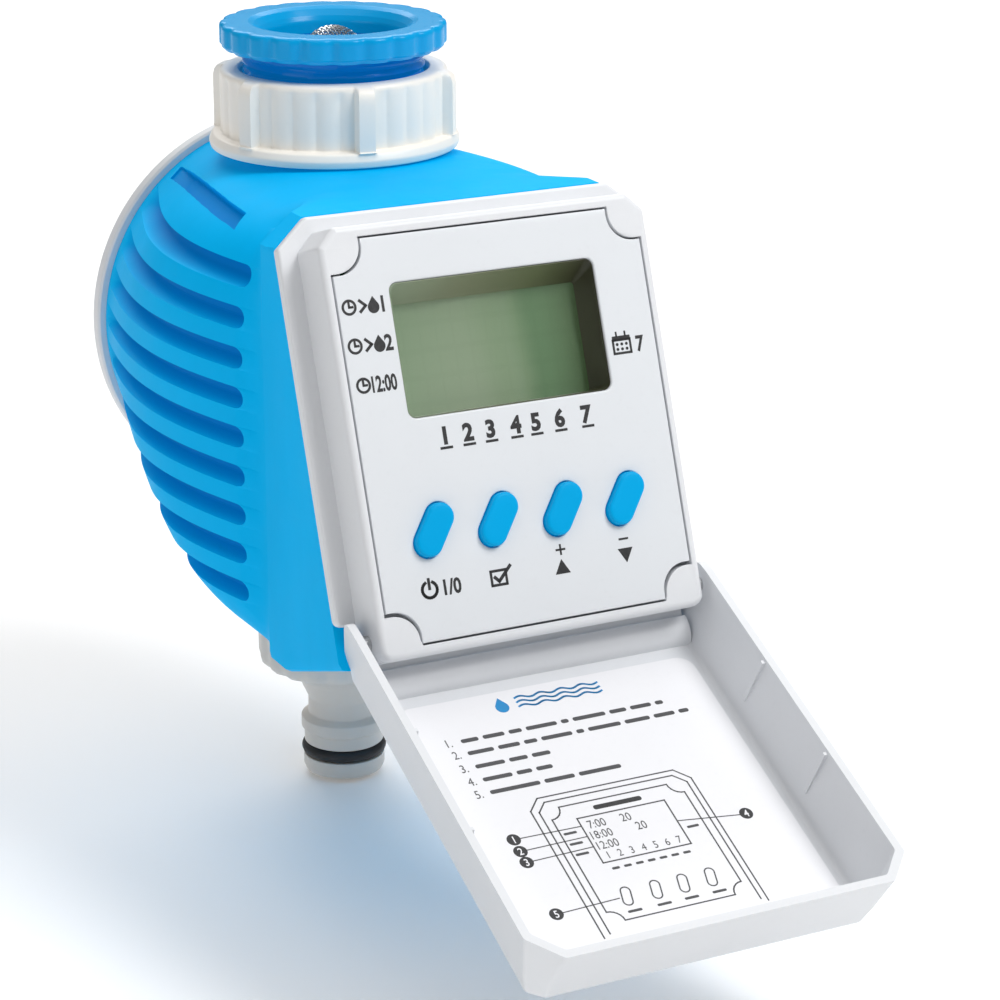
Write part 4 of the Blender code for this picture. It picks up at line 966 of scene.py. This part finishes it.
def make_buttons():
    for name, x in BUTTONS.items():
        ring = stadium(x, BUTTON_V, 2.4, 2.4, 34.0, 20)
        rows = [(0.0, -2.6), (0.0, 0.85), (0.05, 1.05), (0.16, 1.2), (0.33, 1.31), (0.6, 1.36), (1.2, 1.39), (1.8, 1.4)]
        cap = relief("cap", ring, rows, (), PANEL)
        skirt = relief("skirt", stadium(x, BUTTON_V, 3.4, 2.4, 34.0, 20), edge_rows(-3.2, -2.35, 0.2, 0.1), (), PANEL)
        place(joined(name + "_cap", [cap, skirt]), name, "blue_plastic", name, look="button_blue")


make_bezel()
make_front_plate()
make_display()
make_buttons()

# ---------------------------------------------------------------- lid

LID_HALF = 34.5
LID_LONG = 74.26
LID_DEEP = 13.93
LID_FLOOR = 1.55
LID_WALL = 1.33
HINGE_END = -2.3


def lid_sizes(depth):
    """Half width, length and far corner cuts of the tray at a depth below its rim."""
    bend = 9.0
    half = LID_HALF - 0.195 * min(depth, bend)
    if depth > bend:
        half -= (half - 31.25) * (depth - bend) / (LID_DEEP - bend)
    share = depth / LID_DEEP
    return half, LID_LONG - 3.16 * share, 4.85 - 2.3 * share, 5.2 - 3.4 * share


def lid_ring(depth, inset, hinge_end, extra=0.0):
    """The tray's outline at a depth, moved in by a wall's thickness and by a rounded edge's share."""
    half, long, cut_x, cut_y = lid_sizes(min(max(depth, 0.0), LID_DEEP))
    half, long = half - inset - extra, long - inset - extra
    trim = inset * 0.5
    right = [(half, -hinge_end), (half, -(long - cut_y + trim)), (half - cut_x + trim, -long)]
    soft = filleted(mirrored(right), [0, 1.2, 1.2, 1.2, 1.2, 0], 6)
    return [(x, y, -depth) for x, y in soft]


def loft(name, rings):
    """A closed solid of the lid through several rings."""
    count = len(rings[0])
    points = [p for ring in rings for p in ring]
    return new_object(name, points, bands(len(rings), count) + ends(len(rings), count), LID)


def side_slab(name, profile, low, high):
    """An outline of (along, height) points of the lid, swept across its width."""
    count = len(profile)
    points = [(x, -along, height) for x in (low, high) for along, height in profile]
    return new_object(name, points, bands(2, count) + ends(2, count), LID)


def make_lid():
    edge = 1.0
    outer = [lid_ring(depth, 0, HINGE_END) for depth in (0.0, 3.0, 6.0, 9.0, LID_DEEP - edge)]
    outer += [lid_ring(LID_DEEP - edge + edge * sin(a), 0, HINGE_END, edge * (1 - cos(a)) * 0.9)
              for a in np.radians([22, 45, 67, 90])]
    floor = LID_DEEP - LID_FLOOR
    inner = [lid_ring(depth, LID_WALL, -10.0) for depth in (-1.0, 3.0, 6.0, 9.0, floor - 0.8)]
    inner += [lid_ring(floor - 0.8 + 0.8 * sin(a), LID_WALL, -10.0, 0.8 * (1 - cos(a)))
              for a in np.radians([30, 60, 90])]
    tray = loft("tray", outer)
    hollow = loft("hollow", inner)
    half = 29.6
    under = side_slab("under", [(-10, -11), (5.4, -11), (5.4, -20), (-10, -20)], -half, half)
    cut(tray, hollow, under)
    turn = np.radians(np.linspace(0, 90, 15))
    lip = [(2.9 + 3.9 * cos(a), -floor + 3.5 * sin(a)) for a in turn]
    lip += [(2.9 + 2.5 * cos(a), -floor - 0.2 + 2.25 * sin(a)) for a in turn[::-1]]
    lip += [(5.4, -LID_DEEP + 0.1), (8.0, -LID_DEEP + 0.1), (8.0, -floor)]
    fuse(tray, side_slab("lip", lip, -half - 0.9, half + 0.9))
    for side in (-1, 1):
        for along in (24.0, 46.0):
            ends = ((-0.5, 32.3, 33.6, 0.35), (-9.4, 31.15, 31.9, 0.45))
            points = [(side * x, -along + half_width * w, z) for z, low, high, half_width in ends
                      for x in (low, high) for w in (-1, 1)]
            rib = new_object("rib", points, BOX_FACES, LID)
            fuse(tray, rib)
    ear_end = [(-9, 4), (-9, -20), (0.5, -20), (-0.3, -10.2), (HINGE_END, -8.0), (HINGE_END, -2.6)]
    ear_end += [(HINGE_END + 2.3 * (1 - cos(a)), -2.6 + 2.45 * sin(a)) for a in np.radians([20, 40, 60, 80])]
    ear_end += [(2.0, 0.02), (3.0, 4)]
    for low, high in ((-40, -28), (28, 40)):
        cut(tray, side_slab("trim", ear_end, low, high))
    soften_edges(tray, 0.38, 40)
    place(tray, "lid", "white_plastic", "lid", sharp=45)


make_lid()
LABEL_TOP = -LID_DEEP + LID_FLOOR + 0.55
label = relief("lid_card", rounded(-28.4, -69.0, 28.4, -9.6, 3.0, 10),
               [(0, LABEL_TOP - 0.22), (0, LABEL_TOP - 0.05), (0.05, LABEL_TOP)], (), LID)
place(label, "lid", "label_paper", "lid_label")

# ---------------------------------------------------------------- printed marks

INK = 0.02


class Print:
    """Marks of one ink on a flat surface, gathered and made into one thin piece."""

    def __init__(self, matrix, height):
        self.matrix = matrix
        self.low, self.high = height + 0.004, height + 0.004 + INK
        self.pieces = []

    def area(self, outline, holes=()):
        rows = [(0, self.low), (0, self.high)]
        self.pieces.append(relief("mark", outline, rows, [(hole, rows) for hole in holes], self.matrix))

    def line(self, path, width, closed=False):
        path = [np.array(p, float) for p in path]
        if closed:
            path.append(path[0])
        for a, b in zip(path, path[1:]):
            if np.linalg.norm(b - a) < 1e-6:
                continue
            along = (b - a) / np.linalg.norm(b - a)
            side = np.array((-along[1], along[0])) * width / 2
            a, b = a - along * width / 2, b + along * width / 2
            self.area([tuple(p) for p in (a - side, b - side, b + side, a + side)])

    def disc(self, x, y, radius):
        self.area(arc(x, y, radius, 0, 350, 35))

    def ring(self, x, y, radius, width):
        self.area(arc(x, y, radius, 0, 350, 35), [arc(x, y, radius - width, 0, 350, 35)])

    def drop(self, x, y, tall):
        radius = 0.36 * tall
        belly = arc(x, y - tall / 2 + radius, radius, 150, 390, 24)
        self.area([(x, y + tall / 2)] + belly)

    def figures(self, text, x, y, tall, bold=0.03, squeeze=0.82, centred=True):
        """Figures and signs in Blender's own face, by the height of a figure."""
        curve = bpy.data.curves.new("figures", "FONT")
        curve.body = text
        curve.offset = bold
        curve.extrude = 0.01
        curve.resolution_u = 3
        obj = linked("figures", curve)
        bpy.context.view_layer.update()
        graph = bpy.context.evaluated_depsgraph_get()
        mesh = bpy.data.meshes.new_from_object(obj.evaluated_get(graph))
        bpy.data.objects.remove(obj, do_unlink=True)
        points = np.array([tuple(v.co) for v in mesh.vertices])
        scale = tall / 0.70
        points[:, 0] -= (points[:, 0].min() + points[:, 0].max()) / 2 if centred else points[:, 0].min()
        flat = points[:, :2] * (scale * squeeze, scale) + (x, y - tall / 2)
        height = np.where(points[:, 2] > 0, self.high, self.low)
        faces = [tuple(p.vertices) for p in mesh.polygons]
        rows = [(u, v, h) for (u, v), h in zip(flat, height)]
        self.pieces.append(new_object("figures", rows, faces, self.matrix, smooth=False))

    def make(self, name, body, slot, look):
        place(joined(name, self.pieces), body, slot, look=look, sharp=20)


def clock_face(ink, x, y, radius):
    ink.ring(x, y, radius, 0.44)
    ink.line([(x, y), (x, y + radius * 0.6)], 0.4)
    ink.line([(x, y), (x + radius * 0.45, y)], 0.4)


def make_panel_marks():
    ink = Print(PANEL, 0.0)
    for row, figure in ((22.8, "1"), (16.3, "2")):
        clock_face(ink, -27.0, row, 1.35)
        ink.line([(-25.0, row - 0.9), (-24.0, row), (-25.0, row + 0.9)], 0.5)
        ink.drop(-22.6, row, 2.9)
        ink.figures(figure, -20.9, row, 2.6)
    clock_face(ink, -26.6, 9.7, 1.35)
    ink.figures("12:00", -22.8, 9.7, 2.6, squeeze=0.6)
    ink.line([(20.7, 9.0), (24.0, 9.0), (24.0, 11.3), (20.7, 11.3)], 0.42, True)
    ink.area(rounded(20.6, 11.2, 24.1, 12.0, 0.1, 2))
    for x in (21.5, 23.2):
        ink.line([(x, 11.8), (x, 12.6)], 0.34)
    for k in range(6):
        ink.disc(21.45 + 0.9 * (k % 3), 9.7 + 0.85 * (k // 3), 0.27)
    ink.figures("7", 25.9, 10.3, 2.6)
    for day, x in enumerate((-13.4, -9.1, -4.9, -0.1, 3.7, 8.3, 13.5), 1):
        ink.figures(str(day), x, -0.4, 2.8, bold=0.045, squeeze=0.95)
        ink.line([(x - 0.95, -2.5), (x + 0.95, -2.5)], 0.44)
    y = -25.4
    bow = arc(-20.5, y, 1.35, 120, 420, 20)
    ink.line(bow, 0.52)
    ink.line([(-20.5, y + 0.2), (-20.5, y + 1.7)], 0.52)
    ink.figures("1/0", -23.9 + 7.6, y, 2.5)
    ink.line([(-9.0, y - 1.2), (-6.2, y - 1.2), (-6.2, y + 1.2), (-9.0, y + 1.2)], 0.46, True)
    ink.line([(-8.3, y + 0.1), (-7.6, y - 0.6), (-5.3, y + 1.7)], 0.58)
    ink.area([(3.0, y - 1.2), (5.9, y - 1.2), (4.45, y + 1.3)])
    ink.area([(15.4, y + 1.3), (16.85, y - 1.2), (18.3, y + 1.3)])
    for x, upright in ((4.6, True), (16.8, False)):
        ink.line([(x - 0.75, -22.5), (x + 0.75, -22.5)], 0.36)
        if upright:
            ink.line([(x, -23.25), (x, -21.75)], 0.36)
    ink.make("panel_marks", "housing", "panel_plastic", "ink_black")


def words(ink, x, y, end, lengths, thick=0.85):
    """A line of greeked print: rounded dashes in place of words."""
    k = 0
    while x < end - 0.8:
        long = min(lengths[k % len(lengths)], end - x)
        ink.area(rounded(x, y - thick / 2, x + long, y + thick / 2, thick * 0.42, 3))
        x += long + 0.85
        k += 1


def make_lid_marks():
    grey = Print(LID, LABEL_TOP)
    blue = Print(LID, LABEL_TOP)
    black = Print(LID, LABEL_TOP)
    blue.drop(-9.6, -12.7, 3.4)
    for row in (-1.0, 0.0, 1.0):
        xs = np.linspace(-6.6, 9.2, 41)
        blue.line([(x, -12.7 + row + 0.28 * sin(2 * pi * (x + 6.6) / 3.95)) for x in xs], 0.38)
    ends = (18.6, 22.2, -6.0, -7.0, 4.5)
    runs = ((3.2, 4.0, 2.4, 5.8, 1.4, 6.2), (4.8, 4.0, 2.4, 5.8, 1.4, 6.2), (5.4, 3.4), (5.4, 2.8), (9.2, 5.6))
    for number, (s, end, lengths) in enumerate(zip((18.7, 21.5, 24.6, 27.6, 30.5), ends, runs), 1):
        grey.figures(str(number) + ".", -22.6, -s, 1.75, bold=0.0, centred=False)
        words(grey, -19.9, -s - 0.1, end, lengths)
    thin = 0.26
    foot = -63.9
    grey.line([(-15.1, foot), (-15.1, -36.2), (-12.8, -33.8), (12.8, -33.8), (15.1, -36.2), (15.1, foot)], thin)
    foot += 0.6
    grey.line([(-13.8, foot), (-13.8, -36.8), (-12.0, -34.9), (12.1, -34.9), (14.0, -36.8), (14.0, foot)], thin)
    left, right, top, low = -12.4, 12.5, -36.5, -61.4
    notch = 2.3
    outline = [(right, top - notch)] + arc(right, top, notch, 270, 180, 6) + arc(left, top, notch, 0, -90, 6)
    outline += arc(left, low, notch, 90, 0, 6) + arc(right, low, notch, 180, 90, 6)
    grey.line(outline, thin, True)
    words(black, -4.4, -38.1, 4.6, (9.0,), 0.95)
    grey.line([(-8.2, -49.5), (8.2, -49.5), (8.2, -39.6), (-8.2, -39.6)], thin, True)
    for s, text, x in ((41.3, "7:00", -5.4), (43.6, "18:00", -5.6), (45.9, "12:00", -5.6)):
        grey.figures(text, x, -s, 1.7, bold=0.0, squeeze=0.8)
    grey.figures("20", 0.0, -41.3, 1.7, bold=0.0)
    grey.figures("20", 1.8, -43.6, 1.7, bold=0.0)
    for day in range(7):
        x = -6.6 + 2.2 * day
        grey.figures(str(day + 1), x, -48.1, 1.5, bold=0.0)
        words(grey, x - 0.7, -51.0, x + 0.75, (1.4,), 0.5)
    for x in (-7.6, -2.2, 2.85, 8.0):
        shape = stadium(x, -56.9, 0.95, 1.05, 14)
        grey.area(shape, [offset(shape, 0.24)])
        words(grey, x - 1.3, -60.0, x + 1.3, (2.6,), 0.5)
    calls = ((-20.5, 41.1, -8.4, 41.3), (-20.5, 43.7, -8.4, 43.6), (-20.5, 46.1, -8.4, 45.9), (20.6, 45.9, 8.4, 44.4),
             (-20.5, 57.3, -9.0, 57.0))
    for number, (x, s, to_x, to_s) in enumerate(calls, 1):
        black.disc(x, -s, 1.2)
        grey.line([(x + (1.2 if to_x > x else -1.2), -s), (to_x, -to_s)], 0.2)
        digit = Print(LID, LABEL_TOP + INK + 0.006)
        digit.figures(str(number), x, -s, 1.45, bold=0.012)
        digit.make("callout_figure_%d" % number, "lid", "label_paper", "label_paper")
    for s in (41.3, 43.6, 45.9):
        words(grey, -11.9, -s - 0.9, -9.4, (2.4,), 0.5)
    words(grey, 9.2, -46.1, 11.6, (2.2,), 0.5)
    grey.make("lid_print", "lid", "label_paper", "ink_grey")
    blue.make("lid_emblem", "lid", "label_paper", "ink_blue")
    black.make("lid_callouts", "lid", "label_paper", "ink_black")


make_panel_marks()
make_lid_marks()

# ---------------------------------------------------------------- inlet


def bump_at(angle, middle, half, soft):
    """1 within half degrees of an angle, fading to 0 over soft degrees."""
    away = abs((degrees(angle) - middle + 180) % 360 - 180)
    t = share_of(half + soft - away, 0.0, soft)
    return t * t * (3 - 2 * t)


# where the nut's first rib stands, and how far apart its flutes are, in degrees
NUT_RIB = -99
NUT_FLUTE = 12.0


def make_nut():
    corners = [
        (12.35, -22.9, 0, 0), (22.9, -22.9, 0.5, 0), (23.2, -21.6, 0.9, 0), (22.6, -20.3, 0.7, 2),
        (21.0, -20.1, 0.35, 1), (21.0, -9.6, 0, 1), (20.9, -9.0, 0, 1), (20.6, -8.6, 0, 1), (20.0, -8.4, 0, 1),
        (17.7, -8.4, 0.3, 0), (17.25, -9.0, 0.3, 0), (17.25, -19.3, 0, 0), (12.35, -19.3, 0, 0),
    ]
    profile = divided(softened(corners), 1.1)

    def bend(angle, radius, height, tag):
        if not tag or (tag == 1 and radius < 19):
            return radius, height
        rib = max(bump_at(angle, NUT_RIB + 60 * k, 3.9, 1.2) for k in range(6))
        if tag == 2:
            return radius + max(0.0, 22.8 - radius) * rib, height
        drop = share_of(height, -8.4, -11.0)
        crown = sqrt(max(0.0, 1 - (1 - drop) ** 2))
        wave = abs(sin(radians((degrees(angle) - NUT_RIB) * 180 / NUT_FLUTE)))
        flute = -0.42 * (1 - wave) ** 1.2 * share_of(height, -9.2, -10.2)
        return radius + rib * 1.8 * crown + (1 - rib) * flute, height

    place(polar("inlet_nut", profile, 480, bend), "nut", "white_plastic", "swivel_nut", look="nut_white",
          sharp=50)


def make_adaptor():
    lobes, rim_r = 22, 20.84
    corners = [
        (16.6, -4.7, 0, 0), (20.0, -4.7, 0.4, 1), (rim_r, -3.9, 0.5, 1), (rim_r, -0.8, 0, 1),
        (rim_r - 0.08, -0.45, 0, 1), (rim_r - 0.28, -0.18, 0, 1), (rim_r - 0.6, -0.04, 0, 1), (rim_r - 1.0, 0.0, 0, 1),
        (15.6, 0.0, 0.25, 0), (14.6, -0.5, 0.5, 0), (13.7, -1.6, 0.6, 0), (13.2, -2.6, 0, 0), (13.2, -11.7, 0, 0),
        (9.6, -11.7, 0, 0), (9.6, -13.6, 0, 0), (16.3, -13.6, 0, 0), (16.7, -13.1, 0, 2), (16.7, -4.9, 0, 2),
    ]
    profile = divided(softened(corners), 0.5)

    def bend(angle, radius, height, tag):
        if tag == 1 and radius > 18.8:
            dip = abs(cos(lobes * angle / 2)) ** 5
            return radius - 0.62 * dip, height
        if tag == 2 and -13.0 < height < -5.0 and radius > 16:
            turn = (height / 1.81 + angle / (2 * pi)) % 1.0
            ridge = min(1.0, max(0.0, 1.6 - 3.2 * abs(turn - 0.5) * 1.15))
            return radius - 0.55 + 0.62 * ridge, height
        return radius, height

    rim = polar("inlet_ring", profile, 352, bend)
    place(rim, "adaptor", "blue_plastic", "inlet_adaptor", look="adaptor_blue", sharp=50)


def make_filter():
    """A domed wire gauze in a flat pressed ring."""
    dome_r, dome_z, pitch, wire = 5.8, -7.0, 0.66, 0.14
    strands = []
    count = int(dome_r / pitch)
    for family in (0, 1):
        for i in range(-count, count + 1):
            off = i * pitch
            reach = sqrt(max(0.0, dome_r**2 - off**2))
            if reach < 1.0:
                continue
            path = []
            steps = max(12, int(reach * pi / 0.31))
            for k in range(steps + 1):
                a = pi * k / steps
                along, up = reach * cos(a), reach * sin(a)
                weave = 0.11 * cos(pi * along / pitch) * (1 if (i + family) % 2 else -1)
                p = Vector((off, along, up)) if family else Vector((along, off, up))
                p *= (dome_r + weave) / dome_r
                path.append((p.x, p.y, dome_z + p.z))
            for end, outward in ((0, -1), (-1, 1)):
                x, y, _ = path[end]
                leg = [(x, y, dome_z - drop) for drop in (1.3, 2.6, 3.75)]
                path = leg[::-1] + path if outward < 0 else path + leg
            strands.append(tube("strand", path, wire))
    for level in range(6):
        hoop = [(5.85 * cos(a), 5.85 * sin(a), dome_z - 0.3 - 0.62 * level) for a in around(60)]
        strands.append(tube("hoop", hoop, wire, loop=True))
    ring = polar("ring", softened([(5.7, -11.3, 0, 0), (12.8, -11.3, 0.15, 0), (12.8, -10.7, 0.2, 0),
                                   (7.0, -10.7, 0.3, 0), (6.4, -9.9, 0.1, 0), (6.15, -9.9, 0.1, 0)]), 120)
    place(joined("inlet_gauze", strands + [ring]), "adaptor", "steel", "inlet_filter")


make_nut()
make_adaptor()
make_filter()

# ---------------------------------------------------------------- outlet


def make_spout():
    corners = [
        (5.25, -74.6, 0, 0), (10.6, -74.6, 0, 0), (10.6, -76.0, 0, 0), (8.9, -76.0, 0, 0), (8.9, -78.4, 0, 0),
        (10.6, -78.4, 0, 0), (10.6, -80.3, 0, 0), (12.5, -80.3, 0, 0), (12.5, -92.0, 0, 0), (16.4, -96.9, 0.6, 1),
        (16.4, -123.2, 0, 1), (16.1, -124.4, 0, 1), (15.3, -125.2, 0, 1), (12.6, -126.3, 1.6, 0),
        (8.9, -128.4, 2.0, 0), (6.9, -132.8, 1.6, 0), (6.9, -136.2, 0.5, 0), (8.3, -137.0, 0.35, 0),
        (8.3, -139.2, 0.35, 0), (7.75, -139.6, 0.1, 0), (7.75, -142.2, 0.25, 0), (6.0, -142.2, 0, 0),
        (6.0, -144.8, 0, 0), (7.95, -144.8, 0.25, 0), (7.95, -147.0, 0, 0), (7.55, -148.0, 0.2, 0),
        (4.8, -148.0, 0.3, 0), (4.75, -134.0, 0, 0), (5.25, -130.0, 0, 0),
    ]
    profile = divided(softened(corners), 3.0)

    def bend(angle, radius, height, tag):
        if tag != 1 or radius < 14:
            return radius, height
        scallop = abs(cos(10 * angle)) ** 2.5
        return radius - 0.55 * scallop, height

    place(polar("outlet_nozzle", profile, 240, bend), "housing", "nozzle_plastic", "outlet_spout", sharp=45)
    bead = [(7.15 + 1.14 * cos(a), -143.5 + 1.14 * sin(a), 0) for a in around(24)]
    place(polar("outlet_seal", bead, 120), "housing", "black_rubber", "outlet_o_ring")


make_spout()

# ---------------------------------------------------------------- rear cover


def make_rear_cover():
    back = facing_back(REAR_Z)
    corners = [
        (0.02, 27.6, 0, 0), (0.02, 30.0, 0, 0), (19.0, 30.1, 0, 0), (19.8, 30.5, 0.3, 0), (21.2, 30.5, 0.3, 0),
        (22.0, 30.1, 0, 0), (33.0, 30.1, 0.4, 0), (34.0, 30.55, 0.4, 0), (37.0, 30.2, 0.9, 0), (38.3, 29.0, 0.9, 0),
        (38.3, 26.6, 0.4, 0), (37.9, 26.12, 0.2, 0), (36.65, 26.12, 0, 0), (36.65, 27.6, 0, 0), (32.1, 27.6, 0, 0),
        (32.1, 19.6, 0.2, 0), (30.6, 19.6, 0.2, 0), (30.6, 27.6, 0, 0),
    ]
    disc = polar("disc", divided(softened(corners), 1.5), 240, None, back)
    grip_rows = [(0, 29.0), (0, 33.6), (0.15, 34.2), (0.5, 34.7), (1.1, 34.95), (1.8, 35.0)]
    grip = relief("grip", rounded(-24, -4.5, 24, 4.5, 4.3, 12), grip_rows, (), back)
    flutes = [relief("flute", rounded(x - 0.6, -5.1, x + 0.6, 5.1, 0.55, 4), edge_rows(29.0, 34.3, 0.4), (), back)
              for x in np.linspace(-18, 18, 9)]
    lugs = []
    for i in range(3):
        middle = 90 + 120 * i
        ring = arc(0, 0, 33.0, middle - 11, middle + 11, 6) + arc(0, 0, 31.2, middle + 11, middle - 11, 6)
        lugs.append(relief("lug", [(-x, y) for x, y in reversed(ring)], edge_rows(19.6, 22.4, 0.2, 0.2), (), back))
    place(joined("rear_disc", [disc, grip, *flutes, *lugs]), "rear_cover", "white_plastic", "rear_cover")


make_rear_cover()

# ---------------------------------------------------------------- floor, lights and camera


def make_stage():
    half, low = 4.0, -0.1492
    mesh = bpy.data.meshes.new("floor")
    mesh.from_pydata([(x * half, y * half, low) for x, y in ((-1, -1), (1, -1), (1, 1), (-1, 1))], [], [(0, 1, 2, 3)])
    floor = linked("floor", mesh)
    n = Nodes("floor_paper")
    paper = n.ramp(n.noise(6, 3), [(0.2, (0.88, 0.88, 0.88)), (0.8, (0.90, 0.90, 0.90))])
    floor.data.materials.append(n.surface(Base_Color=paper, Roughness=0.9, Specular_IOR_Level=0.1,
                                          Emission_Color=(1.0, 0.99, 0.97), Emission_Strength=0.13))


# each square light's place, what it points at, its side and its power
OBJECT_MIDDLE = (0, -0.05, -0.07)
LIGHTS = {
    "front_right": ((0.46, -0.66, 0.78), OBJECT_MIDDLE, 0.45, 8.4),
    "left": ((-0.9, -0.3, 0.15), OBJECT_MIDDLE, 0.6, 1.1),
    "top": ((0.0, 0.0, 0.95), OBJECT_MIDDLE, 1.2, 5.5),
    "backdrop": ((0.5, 1.5, 1.0), (0.5, 1.3, -0.15), 1.6, 22.0),
}
WORLD_LIGHT = 0.17


def area_light(name, at, aim, side, power):
    light = bpy.data.lights.new(name, "AREA")
    light.shape = "RECTANGLE"
    light.size = light.size_y = side
    light.energy = power
    obj = linked(name, light)
    obj.location = at
    obj.rotation_euler = (Vector(aim) - Vector(at)).to_track_quat("-Z", "Y").to_euler()


def make_lights():
    for name, values in LIGHTS.items():
        area_light(name, *values)
    world = bpy.data.worlds.new("studio")
    world.use_nodes = True
    background = world.node_tree.nodes["Background"]
    background.inputs["Color"].default_value = (1, 1, 1, 1)
    background.inputs["Strength"].default_value = WORLD_LIGHT
    bpy.context.scene.world = world


def make_camera():
    elevation, azimuth = 18.482, 26.792
    camera = bpy.data.cameras.new("camera")
    camera.lens = 112.25
    camera.sensor_width = 36
    camera.shift_x = 0.0150
    camera.shift_y = -0.0173
    camera.clip_start = 0.01
    obj = linked("camera", camera)
    obj.location = (-0.2312, -0.5196, 0.1005)
    obj.rotation_euler = (radians(90 - elevation), 0, -radians(azimuth))
    bpy.context.scene.camera = obj
    bpy.context.scene.view_settings.view_transform = "Standard"


make_stage()
make_lights()
make_camera()
